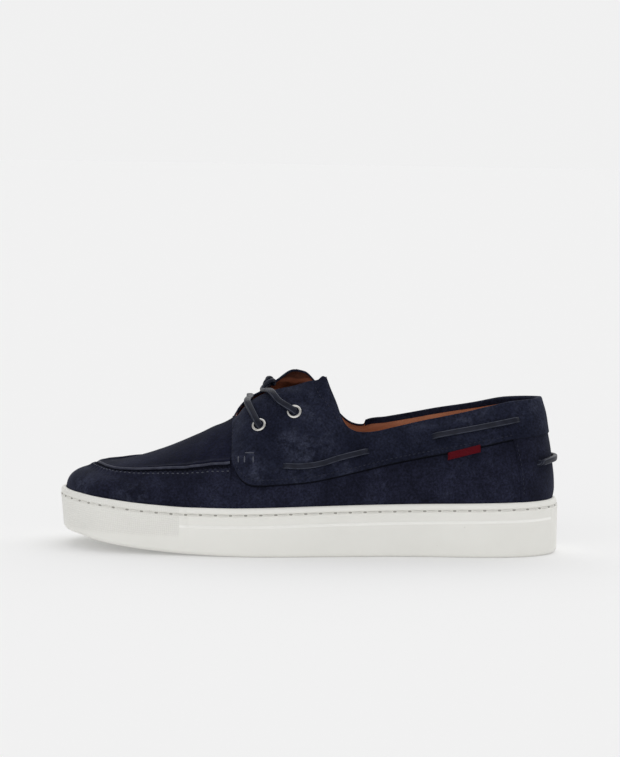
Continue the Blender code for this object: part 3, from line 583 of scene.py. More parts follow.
def capsules(centres, headings, outs, length, width, height, rows=6, around=8):
    """Many small rounded bars, each lying along its heading and bowed a little outwards."""
    reach = np.linspace(-1, 1, rows + 1)
    girth = np.sqrt(np.clip(1 - np.abs(reach) ** 3.2, 0, 1))
    turn = np.linspace(0, math.tau, around + 1)
    sides = np.cross(headings, outs)
    sides /= np.linalg.norm(sides, axis=-1, keepdims=True)
    ring = lambda values, k: values[:, None, None, :] * k[None, ..., None]
    lengthwise = np.broadcast_to((reach * length / 2)[:, None], (rows + 1, around + 1))
    sideways = girth[:, None] * np.cos(turn)[None] * width / 2
    upwards = girth[:, None] * np.sin(turn)[None] * height / 2 - (reach**2)[:, None] * height * 0.55
    points = centres[:, None, None, :] + ring(headings, lengthwise)
    points = points + ring(sides, sideways) + ring(outs, upwards)
    return [skin(p, np.stack(np.meshgrid(turn * width / 2, reach * length / 2), -1)) for p in points]


groove_line = wall[GROOVE_ROW].copy()
groove_length = lengths(groove_line)[-1]
stitch_count = round(groove_length / SOLE_STITCH_PITCH)
marks = (np.arange(stitch_count) + SOLE_STITCH_START) * groove_length / stitch_count
spots, headings = at_length(groove_line, marks)
outs = np.stack([headings[:, 1], -headings[:, 0], 0 * headings[:, 0]], -1)
outs /= np.linalg.norm(outs, axis=-1, keepdims=True)
hole_marks = np.mod(marks + 0.5 * groove_length / stitch_count, groove_length)
holes, hole_headings = at_length(groove_line, hole_marks)
hole_outs = np.stack([hole_headings[:, 1], -hole_headings[:, 0], 0 * hole_headings[:, 0]], -1)
stitches = capsules(spots + outs * 0.00030, headings, outs, SOLE_STITCH_PITCH * 0.80, *SOLE_THREAD, 10, 8)
dress(assemble("sole_thread", stitches, [thread_pale]), "rubber")
pits = capsules(holes + hole_outs * 0.00010, hole_headings, hole_outs, *NEEDLE_HOLE, 6, 8)
dress(assemble("sole_needle_holes", pits, [needle_hole_shade]), "rubber")

# Last: the form that every piece of the upper is pulled over. Its sections go from the cup over the foot,
# and turn and rise place a point on it: turn goes round the shoe, rise from the sole's top to the crest.
UPPER_WALL = 0.0020
INSTEP_HEIGHT = 0.0770
HEEL_TOP = 0.0925
THROAT_START = 0.3450
OUTER_CORNER = 0.5330
INNER_CORNER = 0.4720
TONGUE_HALF_WIDTH = 0.0250
HEEL_LEAN_START = 0.80

# Height of the crest over each half, where the ridge runs, how far the wall goes straight up, how wide the
# top stays level and how far the side swells
LAST = table(
    "along crest_outer crest_inner ridge rise flat bulge",
    (0.000, 0.436, 0.436, 0.065, 0.62, 0.62, 0.000),
    (0.007, 0.524, 0.524, 0.065, 0.62, 0.62, 0.000),
    (0.020, 0.567, 0.567, 0.064, 0.62, 0.62, 0.001),
    (0.040, 0.597, 0.597, 0.062, 0.62, 0.62, 0.002),
    (0.065, 0.617, 0.617, 0.060, 0.62, 0.62, 0.004),
    (0.120, 0.654, 0.654, 0.052, 0.62, 0.62, 0.008),
    (0.155, 0.688, 0.688, 0.046, 0.58, 0.58, 0.010),
    (0.200, 0.746, 0.746, 0.040, 0.54, 0.51, 0.011),
    (0.240, 0.809, 0.809, 0.034, 0.50, 0.45, 0.011),
    (0.300, 0.918, 0.918, 0.026, 0.46, 0.40, 0.010),
    (0.345, 1.006, 1.006, 0.020, 0.43, 0.36, 0.010),
    (0.353, 1.045, 1.090, 0.020, 0.42, 0.37, 0.010),
    (0.372, 1.165, 1.205, 0.018, 0.41, 0.38, 0.009),
    (0.400, 1.272, 1.312, 0.015, 0.40, 0.40, 0.008),
    (0.430, 1.358, 1.468, 0.012, 0.40, 0.40, 0.007),
    (0.472, 1.450, 1.682, 0.010, 0.40, 0.40, 0.006),
    (0.500, 1.532, 1.705, 0.009, 0.39, 0.39, 0.005),
    (0.517, 1.577, 1.700, 0.008, 0.38, 0.38, 0.005),
    (0.527, 1.632, 1.690, 0.008, 0.38, 0.37, 0.005),
    (0.600, 1.640, 1.650, 0.004, 0.34, 0.27, 0.006),
    (0.700, 1.630, 1.630, 0.000, 0.31, 0.21, 0.010),
    (0.850, 1.650, 1.650, 0.000, 0.32, 0.24, 0.014),
    (1.000, 1.690, 1.690, 0.000, 0.34, 0.30, 0.016),
)
# How far the back of the heel leans forward at each height above the sole
BACK = table(
    "height forward",
    (0.00, 0.000),
    (0.10, -0.014),
    (0.20, -0.010),
    (0.34, 0.007),
    (0.52, 0.033),
    (0.66, 0.061),
    (0.85, 0.095),
    (0.93, 0.119),
    (1.00, 0.142),
    (1.60, 0.330),
)
# Half the throat's gap, as a share of the tongue's half width, and the height of the collar's two edges
THROAT = table(
    "along half_gap",
    (0.345, 0.00),
    (0.350, 0.27),
    (0.358, 0.40),
    (0.372, 0.50),
    (0.400, 0.62),
    (0.440, 0.74),
    (0.480, 0.81),
    (0.533, 0.87),
)
COLLAR_OUTER = table(
    "along height",
    (0.533, 1.127),
    (0.541, 1.062),
    (0.555, 0.962),
    (0.566, 0.870),
    (0.573, 0.832),
    (0.585, 0.801),
    (0.601, 0.785),
    (0.617, 0.783),
    (0.635, 0.789),
    (0.667, 0.811),
    (0.729, 0.857),
    (0.776, 0.888),
    (0.823, 0.920),
    (0.866, 0.948),
    (0.928, 0.980),
    (1.000, 0.997),
)
COLLAR_INNER = table(
    "along height",
    (0.472, 1.138),
    (0.490, 1.124),
    (0.509, 1.069),
    (0.535, 0.960),
    (0.568, 0.838),
    (0.578, 0.811),
    (0.591, 0.790),
    (0.604, 0.782),
    (0.6142, 0.785),
    (0.6164, 0.811),
    (0.660, 0.838),
    (0.709, 0.868),
    (0.766, 0.903),
    (0.841, 0.939),
    (0.915, 0.974),
    (1.000, 0.997),
)


def last(turn, rise):
    """Points of the last. Below 0, rise runs down into the cup."""
    turn, rise = np.asarray(turn, float), np.asarray(rise, float)
    along, outer = along_of(turn), np.sin(turn) >= 0
    x, foot_y = outline(turn, UPPER_INSET, UPPER_TOE_INSET, UPPER_HEEL_INSET)
    foot_z = wall_top(x) - GAP
    crest = np.where(
        outer | (along <= THROAT_START), read(LAST, "crest_outer", along), read(LAST, "crest_inner", along)
    )
    crest = np.maximum(crest * INSTEP_HEIGHT, foot_z)
    ridge = read(LAST, "ridge", along) * BALL_WIDTH
    swell = np.where(outer, -1, 1) * read(LAST, "bulge", along) * BALL_WIDTH * np.abs(np.sin(turn))
    level_y = ridge + read(LAST, "flat", along) * (foot_y - ridge)
    knee_z = foot_z + read(LAST, "rise", along) * (crest - foot_z)
    up = np.clip(rise, 0, 1)
    rest = 1 - up
    weights = (rest**3, 3 * rest**2 * up, 3 * rest * up**2, up**3)
    y = sum(w * c for w, c in zip(weights, (foot_y, foot_y + swell, level_y, ridge)))
    z = sum(w * c for w, c in zip(weights, (foot_z, knee_z, crest, crest)))
    z = z + np.minimum(rise, 0) * (foot_z - cup_floor(x) - GAP)
    share = np.clip((along - HEEL_LEAN_START) / (1 - HEEL_LEAN_START), 0, 1) ** 2
    tall = HEEL_TOP - foot_z
    forward = tall * smooth_curve(BACK["height"], BACK["forward"], (z - foot_z) / tall) * share
    return np.stack(np.broadcast_arrays(x - forward, y, z), -1)


def unit(vectors):
    return vectors / np.maximum(np.linalg.norm(vectors, axis=-1, keepdims=True), 1e-12)


def upward(turn, rise):
    """Direction up the wall along the leather."""
    top = np.minimum(rise + 2e-3, 1)
    return unit(last(turn, top) - last(turn, top - 4e-3))


def outward(turn, rise):
    """Direction away from the foot."""
    round_step = last(turn + 2e-3, rise) - last(turn - 2e-3, rise)
    return unit(np.cross(round_step, upward(turn, rise)))


def turn_at(along, side):
    """Turn at a share of the upper's length. side is -1 on the outer side and 1 on the inner."""
    turned = np.arccos(1 - 2 * np.clip(along, 0, 1))
    return np.where(np.asarray(side) < 0, turned, math.tau - turned)


def rise_at_height(turn, height):
    """Where the wall reaches a height over the floor."""
    low, high = np.zeros(np.broadcast(turn, height).shape), np.ones(np.broadcast(turn, height).shape)
    for _ in range(26):
        middle = (low + high) / 2
        short = last(turn, middle)[..., 2] < height
        low, high = np.where(short, middle, low), np.where(short, high, middle)
    return (low + high) / 2


def rise_at_distance(turn, distance):
    """Where the arch is this far, sideways, from the crest line."""
    low, high = np.zeros(np.broadcast(turn, distance).shape), np.ones(np.broadcast(turn, distance).shape)
    crest_y = last(turn, 1.0)[..., 1]
    for _ in range(26):
        middle = (low + high) / 2
        short = np.abs(last(turn, middle)[..., 1] - crest_y) > distance
        low, high = np.where(short, middle, low), np.where(short, high, middle)
    return (low + high) / 2


def top_rise(turn):
    """Top edge of the upper: crest in front of the throat, then the throat's edge, then the collar."""
    along, outer = along_of(turn), np.sin(turn) >= 0
    throat = rise_at_distance(turn, read(THROAT, "half_gap", along) * TONGUE_HALF_WIDTH)
    outer_top = rise_at_height(turn, read(COLLAR_OUTER, "height", along) * HEEL_TOP)
    inner_top = rise_at_height(turn, read(COLLAR_INNER, "height", along) * HEEL_TOP)
    collar = np.where(outer, outer_top, inner_top)
    corner = np.where(outer, OUTER_CORNER, INNER_CORNER)
    return np.where(along <= THROAT_START, 1.0, np.where(along <= corner, throat, collar))


def stations(start, end, count, extra=()):
    """Shares of the length between two places, evenly spaced round the shoe, with the corners' own."""
    turned = np.linspace(*np.arccos(1 - 2 * np.array([start, end])), count)
    fixed = [a for a in extra if start < a < end]
    even = [a for a in along_of(turned) if all(abs(a - f) > 0.0008 for f in fixed)]
    return np.array(sorted([*even, *fixed]))


# Shares of the length where the top edge changes its direction
CORNERS = (THROAT_START, 0.3458, 0.3470, 0.3485, 0.3510, 0.3540, INNER_CORNER, OUTER_CORNER)


def both_sides(alongs):
    """Turns of the outer side from toe to heel and of the inner side back again."""
    outer = turn_at(alongs, -1)
    inner = turn_at(alongs, 1)[::-1]
    return np.concatenate([outer, inner[1:] if alongs[-1] == 1 else inner])


# Upper: one sheet of navy suede over a tan leather lining, cut open at the throat and the collar and
# glued down into the cup. Suede is short brushed nap, so it is mottled where the nap lies different ways.
nap, given, out = group(
    "suede_nap",
    {
        "Dark": (0.0082, 0.0090, 0.0186, 1),
        "Middle": (0.0142, 0.0156, 0.0312, 1),
        "Light": (0.0230, 0.0255, 0.0440, 1),
    },
    {"Color": "Color", "Height": "Float", "Roughness": "Float"},
)
# Places brushed pale by handling: a point of each and how far it reaches
BRUSHED_PLACES = (
    ((0.004, -0.036, 0.067), 0.017),
    ((-0.006, -0.034, 0.073), 0.012),
    ((-0.025, -0.040, 0.060), 0.011),
    ((0.018, -0.032, 0.071), 0.011),
    ((-0.128, -0.014, 0.041), 0.017),
    ((-0.100, -0.037, 0.038), 0.016),
)
spot = spot_of(nap)
warp = add(nap, "TexNoise", {"Vector": spot, "Scale": 55.0, "Detail": 2.0}).outputs["Color"]
bent = add(nap, "VectorMath", {0: warp, 1: (0.012, 0.012, 0.012)}, operation="MULTIPLY").outputs[0]
bent = add(nap, "VectorMath", {0: spot, 1: bent}, operation="ADD").outputs[0]
cloud = noise(nap, bent, 38.0, 5.0, 0.62)
brushed = noise(nap, bent, 150.0, 6.0, 0.68)
fibre = noise(nap, spot, 760.0, 4.0, 0.75)
tone = mixed(nap, ramp(nap, cloud, 0.34, 0.62), given["Dark"], given["Middle"])
patches = times(nap, ramp(nap, brushed, 0.44, 0.72), ramp(nap, cloud, 0.44, 0.70))
tone = mixed(nap, times(nap, patches, 0.75), tone, given["Light"])
stroked = 0.0
for point, reach in BRUSHED_PLACES:
    away = add(nap, "VectorMath", {0: bent, 1: point}, operation="DISTANCE").outputs["Value"]
    stroked = calc(nap, "MAXIMUM", stroked, ramp(nap, away, 0.0, reach, 1.0, 0.0))
streaks = ramp(nap, brushed, 0.38, 0.66)
tone = mixed(nap, times(nap, stroked, streaks, 0.75), tone, (0.041, 0.046, 0.074, 1))
speckle = ramp(nap, fibre, 0.30, 0.70, 0.48, 1.56)
speckle = add(nap, "CombineColor", {0: speckle, 1: speckle, 2: speckle}).outputs[0]
nap.links.new(mixed(nap, 1.0, tone, speckle, "MULTIPLY"), out.inputs["Color"])
height = calc(nap, "MULTIPLY_ADD", brushed, 1.4, times(nap, fibre, 0.9))
nap.links.new(height, out.inputs["Height"])
nap.links.new(ramp(nap, fibre, 0.3, 0.7, 0.86, 1.0), out.inputs["Roughness"])


def suede(name, **tones):
    """Suede with the given tones; the apron's and the gathers' darker copies are painted shade."""
    made, tree, shader, bump = finish_of(
        name, 0.95, 0.00024, Specular_IOR_Level=0.07, Sheen_Weight=0.05, Sheen_Roughness=0.5,
        Sheen_Tint=(0.50, 0.56, 0.72, 1),
    )
    face = use(tree, nap, **tones)
    tree.links.new(face["Color"], shader.inputs["Base Color"])
    tree.links.new(face["Roughness"], shader.inputs["Roughness"])
    tree.links.new(face["Height"], bump.inputs["Height"])
    return made


vamp_suede = suede("vamp_suede")
lining, tree, shader, bump = finish_of("tan_lining", 0.55, 0.00010, Specular_IOR_Level=0.35)
spot = spot_of(tree)
pebble = add(tree, "TexVoronoi", {"Vector": spot, "Scale": 900.0}).outputs["Distance"]
patina = noise(tree, spot, 60.0, 4.0)
tan_tone = mixed(tree, ramp(tree, patina, 0.35, 0.7), (0.40, 0.140, 0.066, 1), (0.52, 0.205, 0.105, 1))
waves = {"Vector": spot, "Scale": 46.0, "Distortion": 4.0, "Detail": 2.0}
fold_highlights = add(tree, "TexWave", waves, bands_direction="Z").outputs["Fac"]
fold_highlights = times(tree, ramp(tree, fold_highlights, 0.55, 0.98), 0.50)
# By the throat the lining is painted darker and redder, painted shade where it lies in shadow, with streaks
# of painted highlight along its folds
throat_shade_tone = mixed(tree, ramp(tree, patina, 0.38, 0.66), (0.040, 0.010, 0.004, 1), (0.120, 0.032, 0.013, 1))
throat_shade_tone = mixed(tree, fold_highlights, throat_shade_tone, (0.260, 0.082, 0.042, 1))
place = add(tree, "SeparateXYZ", {0: spot}).outputs
in_front = ramp(tree, place[0], 0.004, 0.020, 1.0, 0.0)
throat_side = times(tree, in_front, ramp(tree, place[2], 0.066, 0.080))
tree.links.new(mixed(tree, throat_side, tan_tone, throat_shade_tone), shader.inputs["Base Color"])
tree.links.new(ramp(tree, throat_side, 0.0, 1.0, 0.55, 0.36), shader.inputs["Roughness"])
tree.links.new(calc(tree, "MULTIPLY_ADD", pebble, -0.8, patina), bump.inputs["Height"])

shell_turn = both_sides(stations(0, 1, 230, CORNERS))
shell_top = top_rise(shell_turn)
into_cup = np.repeat(np.array([-0.98, -0.6, -0.25, -0.08])[:, None], len(shell_turn), 1)
shell_rise = np.concatenate([into_cup, shell_top * np.linspace(0, 1, 46)[:, None]])


# Soft troughs and ridges of the leather, in millimetres: where each lies (share of the length, height), how
# long and wide it is, its slope in degrees, how deep (-) or high (+), and its side (-1 outer, 1 inner, 0
# both)
CREASES = table(
    "along height long wide slope depth side",
    (0.530, 63.0, 13.0, 2.6, 38.0, -0.45, -1),
    (0.543, 66.5, 12.0, 2.4, 40.0, 0.40, -1),
    (0.505, 59.8, 20.0, 1.7, 9.0, -0.45, -1),
    (0.500, 62.6, 18.0, 1.6, 10.0, 0.35, -1),
    (0.440, 63.0, 9.0, 3.0, -20.0, -0.35, 0),
    (0.415, 58.5, 6.0, 2.2, 15.0, 0.30, -1),
    (0.390, 66.0, 7.0, 2.2, 55.0, -0.25, 0),
    (0.535, 88.0, 13.0, 1.4, -62.0, -0.35, -1),
    (0.300, 35.0, 26.0, 4.5, 4.0, -0.40, 0),
    (0.220, 33.0, 18.0, 4.0, -6.0, 0.30, 0),
    (0.130, 38.5, 10.0, 4.5, 14.0, -0.35, -1),
    (0.090, 40.0, 7.0, 3.5, 40.0, 0.30, -1),
    (0.262, 55.0, 14.0, 3.0, 64.0, -0.35, 0),
    (0.300, 60.0, 14.0, 3.0, 60.0, -0.30, 0),
    (0.282, 57.5, 13.0, 2.6, 62.0, 0.25, 0),
    (0.640, 40.0, 24.0, 4.5, 9.0, -0.45, 0),
    (0.700, 46.0, 24.0, 4.0, 12.0, 0.35, 0),
    (0.790, 40.0, 20.0, 5.0, 20.0, -0.40, 0),
    (0.600, 60.0, 14.0, 3.0, 30.0, -0.30, 0),
    (0.620, 55.0, 14.0, 2.6, 26.0, 0.25, 0),
    (0.850, 62.0, 12.0, 3.0, 35.0, -0.25, 0),
    (0.930, 60.0, 9.0, 3.5, 76.0, -0.30, -1),
    (0.905, 45.0, 10.0, 3.5, 70.0, 0.25, 0),
)


def relief(turn, points):
    """Height of the creases at points of the last."""
    along, total = along_of(turn), 0.0
    for a, h, long, wide, slope, depth, side in zip(*CREASES.values()):
        x = (along - a) * (SOLE_LENGTH - UPPER_TOE_INSET - UPPER_HEEL_INSET) * 1e3
        z = points[..., 2] * 1e3 - h
        lean = math.radians(slope)
        length = (x * math.cos(lean) + z * math.sin(lean)) / long
        width = (z * math.cos(lean) - x * math.sin(lean)) / wide
        here = 1.0 if side == 0 else (np.sin(turn) * -side > 0)
        total = total + depth * 1e-3 * here * np.exp(-(length**2) - width**2)
    return total


def off_last(turn, rise, lift, proud=0.0):
    """Points over the last: lift along the outward direction, proud along the wall's upward direction."""
    turn, rise, lift, proud = np.broadcast_arrays(turn, rise, lift, proud)
    lift = lift + relief(turn, last(turn, rise))
    out = outward(turn, rise)
    crest = rise >= 1 - 1e-9
    out = np.where(crest[..., None], unit(out * [1, 0, 1]), out)
    return last(turn, rise) + out * lift[..., None] + upward(turn, rise) * proud[..., None]


def rise_step(turn, rise, distance):
    """Change of rise that moves a point up the wall by a distance."""
    span = np.linalg.norm(last(turn, rise + 1e-3) - last(turn, rise - 1e-3), axis=-1) / 2e-3
    return distance / span


def thin(distance, along=0.5):
    """Share of its thickness that leather keeps near a skived topline: more at the heel."""
    kept = 0.30 + 0.70 * ease(along, 0.80, 0.93)
    return kept + (1 - kept) * ease(distance, 0.0, 0.0070)


shell_out = off_last(shell_turn[None], shell_rise, 0.0)
from_top = (shell_top[None] - shell_rise) / rise_step(shell_turn[None], shell_rise, 1.0)
cut = ease(along_of(shell_turn), THROAT_START, THROAT_START + 0.004)
wall_kept = 1 - cut[None] * (1 - thin(from_top, along_of(shell_turn)[None]))
shell_in = off_last(shell_turn[None], shell_rise, -UPPER_WALL * wall_kept)
open_part = np.flatnonzero((along_of(shell_turn) >= THROAT_START - 1e-6))
open_part = slice(open_part[0], open_part[-1] + 1)
rim_turn, rim_rise = shell_turn[open_part], shell_rise[-1, open_part]
swing = np.linspace(0, math.pi, 7)[:, None]
edge_wall = UPPER_WALL * (1 - cut[open_part] * (1 - thin(0.0, along_of(rim_turn))))
rim = off_last(rim_turn[None], rim_rise[None], -edge_wall * (1 - np.cos(swing)) / 2, 0.0003 * np.sin(swing))
upper_skins = [skin(shell_out), skin(shell_in, finish=1, flip=True), skin(rim, finish=1)]
upper = assemble("upper_shell", upper_skins, [vamp_suede, lining], sharp=60)
dress(upper, "suede", "upper")

# Footbed: a thin sheet of tan leather over foam, cut to the inside of the cup and dished a little under the
# heel. It lies loose in the cup.
FOOTBED = 0.0035
inside = UPPER_WALL + 5 * GAP
bed_turn = np.linspace(0, math.tau, 361)
bed_rows = []
for inset, lift in ((0, 0.0), (0, 0.7), (0.0003, 0.92), (0.0010, 1.0)):
    shrink = inside + inset
    x, y = outline(bed_turn, UPPER_INSET + shrink, UPPER_TOE_INSET + shrink, UPPER_HEEL_INSET + shrink)
    bed_rows.append(np.stack([x, y, cup_floor(x) + GAP + FOOTBED * lift], -1))
bed_edge = np.array(bed_rows)
bed_across = np.linspace(0, 1, 31)
bed_dish = -0.30 * FOOTBED * np.sin(np.pi * bed_across)[:, None] ** 0.6
bed_top = across_grid(bed_edge[-1], bed_across, lambda p: bed_dish)
footbed = assemble("footbed", [skin(bed_edge), skin(bed_top, bed_top[..., :2])], [lining])
dress(footbed, "leather", "insole")

# Apron: the plug over the toes. Its edge is turned up against the vamp's and both are sewn together by
# hand, so the seam stands up as a ridge with puckers below it.
PANEL = 0.0012
PANEL_LIFT = 0.0006
APRON_EDGE = 0.0013
APRON_HALF_WIDTH = 0.0360
APRON_END = THROAT_START + 0.004
MOC_BEAD = 0.0017
MOC_PITCH = 0.0030
MOC_ROW = 0.0038
APRON = table(
    "along half_width",
    (0.0690, 0.000),
    (0.0712, 0.130),
    (0.0803, 0.350),
    (0.0900, 0.520),
    (0.1110, 0.715),
    (0.1420, 0.845),
    (0.1790, 0.930),
    (0.2160, 0.985),
    (0.2530, 1.033),
    (0.2900, 1.075),
    (0.3500, 1.110),
)
UPPER_LENGTH = SOLE_LENGTH - UPPER_TOE_INSET - UPPER_HEEL_INSET
edge_along = np.concatenate([APRON["along"][::-1], APRON["along"][1:]])
edge_side = np.concatenate([-APRON["half_width"][::-1], APRON["half_width"][1:]]) * APRON_HALF_WIDTH
edge_steps = np.hypot(np.diff(edge_along) * UPPER_LENGTH, np.diff(edge_side))
edge_run = np.concatenate([[0], np.cumsum(edge_steps)])
edge_run -= edge_run[len(edge_run) // 2]


def on_top(along, across, lift):
    """Point over the top of the foot. across is the signed distance from the crest, + to the inner side."""
    along, across, lift = np.broadcast_arrays(along, across, lift)
    turn = turn_at(along, np.where(across < 0, -1, 1))
    distance = np.abs(across)
    rise = np.where(distance < 1e-7, 1.0, rise_at_distance(turn, distance))
    return off_last(turn, rise, lift)


def apron_edge(run):
    """Places (along, across) on the apron's edge, at a distance along it from its tip."""
    along = smooth_curve(edge_run, edge_along, run)
    across = smooth_curve(edge_run, edge_side, run)
    return np.minimum(along, APRON_END), across


def apron_inward(run, inset):
    """Places (along, across) moved inwards from the apron's edge by inset, towards its spine."""
    along, across = apron_edge(run)
    spine = np.maximum(along, APRON["along"][0] + 0.062)
    reach = np.hypot((spine - along) * UPPER_LENGTH, across)
    share = np.where(inset > 0.9, 1.0, inset / reach)
    return along + (spine - along) * share, across * (1 - share), reach


# Section of the apron's turned-up edge: how far in, and how high as a share of its standing height
APRON_SECTION = (
    (0.0, -0.10), (0.0, 0.45), (0.0001, 0.80), (0.0004, 1.0), (0.0008, 1.06), (0.0012, 1.0),
    (0.0016, 0.86), (0.0020, 0.68), (0.0025, 0.50), (0.0032, 0.36), (0.0042, 0.29), (0.0055, 0.28),
)
FLAT_INSET, FLAT_SHARE = APRON_SECTION[-1]


def inner_edge_share(along, across):
    """1 where the apron's edge stands up most, on the inner side of the toes, and 0 away from there."""
    return ease(across, 0.006, 0.016) * ease(along, 0.065, 0.165) * (1 - ease(along, 0.175, 0.25))


apron_run = np.linspace(edge_run[0] + 0.002, edge_run[-1] - 0.002, 420)
apron_rows = []
for inset, share in APRON_SECTION:
    a, c, reach = apron_inward(apron_run, np.full_like(apron_run, inset))
    standing = 1 + 1.5 * inner_edge_share(a, c) * ease(share, 0.3, 0.9)
    apron_rows.append(on_top(a, c, (PANEL_LIFT + APRON_EDGE) * share * standing))
for part in np.linspace(0, 1, 22)[1:]:
    a, c, _ = apron_inward(apron_run, FLAT_INSET + (reach - FLAT_INSET) * part)
    if part == 1:
        c = np.zeros_like(c)
    apron_rows.append(on_top(a, c, (PANEL_LIFT + APRON_EDGE) * FLAT_SHARE))
# The apron's suede is a darker copy of the same suede: painted shade against the top light on the toe
apron_shade_suede = suede(
    "apron_shade_suede",
    Dark=(0.0034, 0.0039, 0.0110, 1),
    Middle=(0.0066, 0.0074, 0.0195, 1),
    Light=(0.0140, 0.0155, 0.0320, 1),
)
apron = assemble("apron_plug", [skin(np.array(apron_rows))], [apron_shade_suede], sharp=60)
dress(apron, "suede", "apron")

# Vamp edge at the apron: the vamp's own edge is gathered up under a leather bead, with a pucker between
# stitches. The rows give how far out from the seam, how high, and how much of the pucker
GATHERS = (
    (0.0, 0.0012, 0.1), (0.0003, 0.0009, 0.2), (0.0007, 0.0003, 0.3), (0.0012, 0.0001, 0.5),
    (0.0018, 0.0002, 0.9), (0.0024, 0.0005, 1.2), (0.0029, 0.0008, 1.2), (0.0033, 0.0009, 0.8),
    (0.0038, 0.0007, 0.5), (0.0043, 0.0009, 0.8), (0.0048, 0.0009, 1.0), (0.0056, 0.0006, 0.7),
    (0.0068, 0.00025, 0.3), (0.0086, -0.00008, 0.0),
)
PUCKER = 0.00030
welt_run = np.linspace(edge_run[0] + 0.002, edge_run[-1] - 0.002, 1500)
pucker = np.cos(math.tau * welt_run / MOC_PITCH)
welt_rows = []
for out_by, base, depth in GATHERS:
    a, c, _ = apron_inward(welt_run, np.full_like(welt_run, -out_by))
    welt_rows.append(on_top(a, c, base + depth * PUCKER * pucker))
# The rows nearest the bead are in a darker copy of the suede: painted shade under the bead
shaded_suede = suede(
    "gather_shade_suede",
    Dark=(0.0024, 0.0027, 0.0060, 1),
    Middle=(0.0045, 0.0050, 0.0105, 1),
    Light=(0.0090, 0.0098, 0.0180, 1),
)
welt_points = np.array(welt_rows)
welt_skins = [skin(welt_points[:6], finish=1, flip=True), skin(welt_points[5:], flip=True)]
dress(assemble("vamp_gathers", welt_skins, [vamp_suede, shaded_suede], sharp=60), "suede")

# Threads of the upper: slate for the hand stitching, navy for the machine-sewn seams
slate_thread = twisted_thread(
    "slate_thread", 0.7, 0.00008, 1400.0, 1.5, (0.034, 0.039, 0.060), (0.075, 0.083, 0.115), Sheen_Weight=0.2
)
navy_thread = twisted_thread(
    "navy_thread", 0.75, 0.00008, 1600.0, 1.5, (0.012, 0.014, 0.026), (0.030, 0.034, 0.054),
    Specular_IOR_Level=0.2,
)
MOC_STITCH = (0.0018, 0.00060, 0.0006)


def bead_tube(points, outs, radius, around=12):
    """Round bead along a line that lies on the leather."""
    ahead = unit(np.gradient(points, axis=0))
    sides = unit(np.cross(ahead, outs))
    turn = np.linspace(0, math.tau, around + 1)
    circle = sides[:, None] * np.cos(turn)[None, :, None] + outs[:, None] * np.sin(turn)[None, :, None]
    return skin(points[:, None] + radius * circle)


def stitch_row(line, pitch, stitch, outs, skip=0.0):
    """Stitches along a line of points, with the outward direction at each. stitch is one's size."""
    run = lengths(line)
    count = max(2, round((run[-1] - 2 * skip) / pitch))
    marks = skip + (np.arange(count) + 0.5) * (run[-1] - 2 * skip) / count
    spots, headings = at_length(line, marks)
    facing = unit(np.stack([np.interp(marks, run, outs[:, k]) for k in range(3)], -1))
    return capsules(spots, headings, facing, *stitch)


moc_run = np.linspace(edge_run[0] + 0.0022, edge_run[-1] - 0.0022, 700)
a, c, _ = apron_inward(moc_run, np.full_like(moc_run, -MOC_ROW))
moc_line, moc_high = on_top(a, c, 0.00075), on_top(a, c, 0.01)
moc_row = stitch_row(moc_line, MOC_PITCH, MOC_STITCH, unit(moc_high - moc_line))
dress(assemble("apron_stitches", moc_row, [slate_thread]), "suede")
# The bead is painted paler than the suede: painted light on the ridge's crest
bead_leather, tree, shader, bump = finish_of("bead_leather", 0.62, 0.00010, Specular_IOR_Level=0.28)
bead_mottle = noise(tree, spot_of(tree), 260.0, 4.0)
paint(tree, shader, ramp(tree, bead_mottle, 0.35, 0.7), (0.0230, 0.0255, 0.0440), (0.0460, 0.0500, 0.0780))
tree.links.new(bead_mottle, bump.inputs["Height"])
a, c, _ = apron_inward(moc_run, np.full_like(moc_run, -0.0003))
bead_line = on_top(a, c, 0.0012 + 0.0008 * inner_edge_share(a, c))
bead = bead_tube(bead_line, unit(on_top(a, c, 0.01) - bead_line), MOC_BEAD / 2)
dress(assemble("moccasin_bead", [bead], [bead_leather], sharp=60), "suede")

# Quarters: the panels from the throat back to the heel seam. Each is folded over the topline and shows
# inside as a narrow rim in front and as a navy collar band behind.
PANEL_TOP = PANEL_LIFT + PANEL
BAND_START = 0.6155
BAND_DEPTH = 0.0031
RIM_DEPTH = 0.0006
QUARTER = table(
    "along height",
    (0.345, 0.600),
    (0.355, 0.531),
    (0.365, 0.488),
    (0.380, 0.459),
    (0.398, 0.451),
    (0.436, 0.458),
    (0.501, 0.476),
    (0.542, 0.499),
    (0.589, 0.532),
    (0.667, 0.590),
    (0.730, 0.630),
    (0.776, 0.658),
    (0.848, 0.704),
    (0.920, 0.749),
    (1.000, 0.777),
)
quarter_suede = suede(
    "quarter_suede",
    Dark=(0.0076, 0.0090, 0.0190, 1),
    Middle=(0.0146, 0.0168, 0.0325, 1),
    Light=(0.0330, 0.0370, 0.0580, 1),
)


def quarter_low(turn):
    """Where the quarters' lower edge runs."""
    return rise_at_height(turn, read(QUARTER, "height", along_of(turn)) * HEEL_TOP)


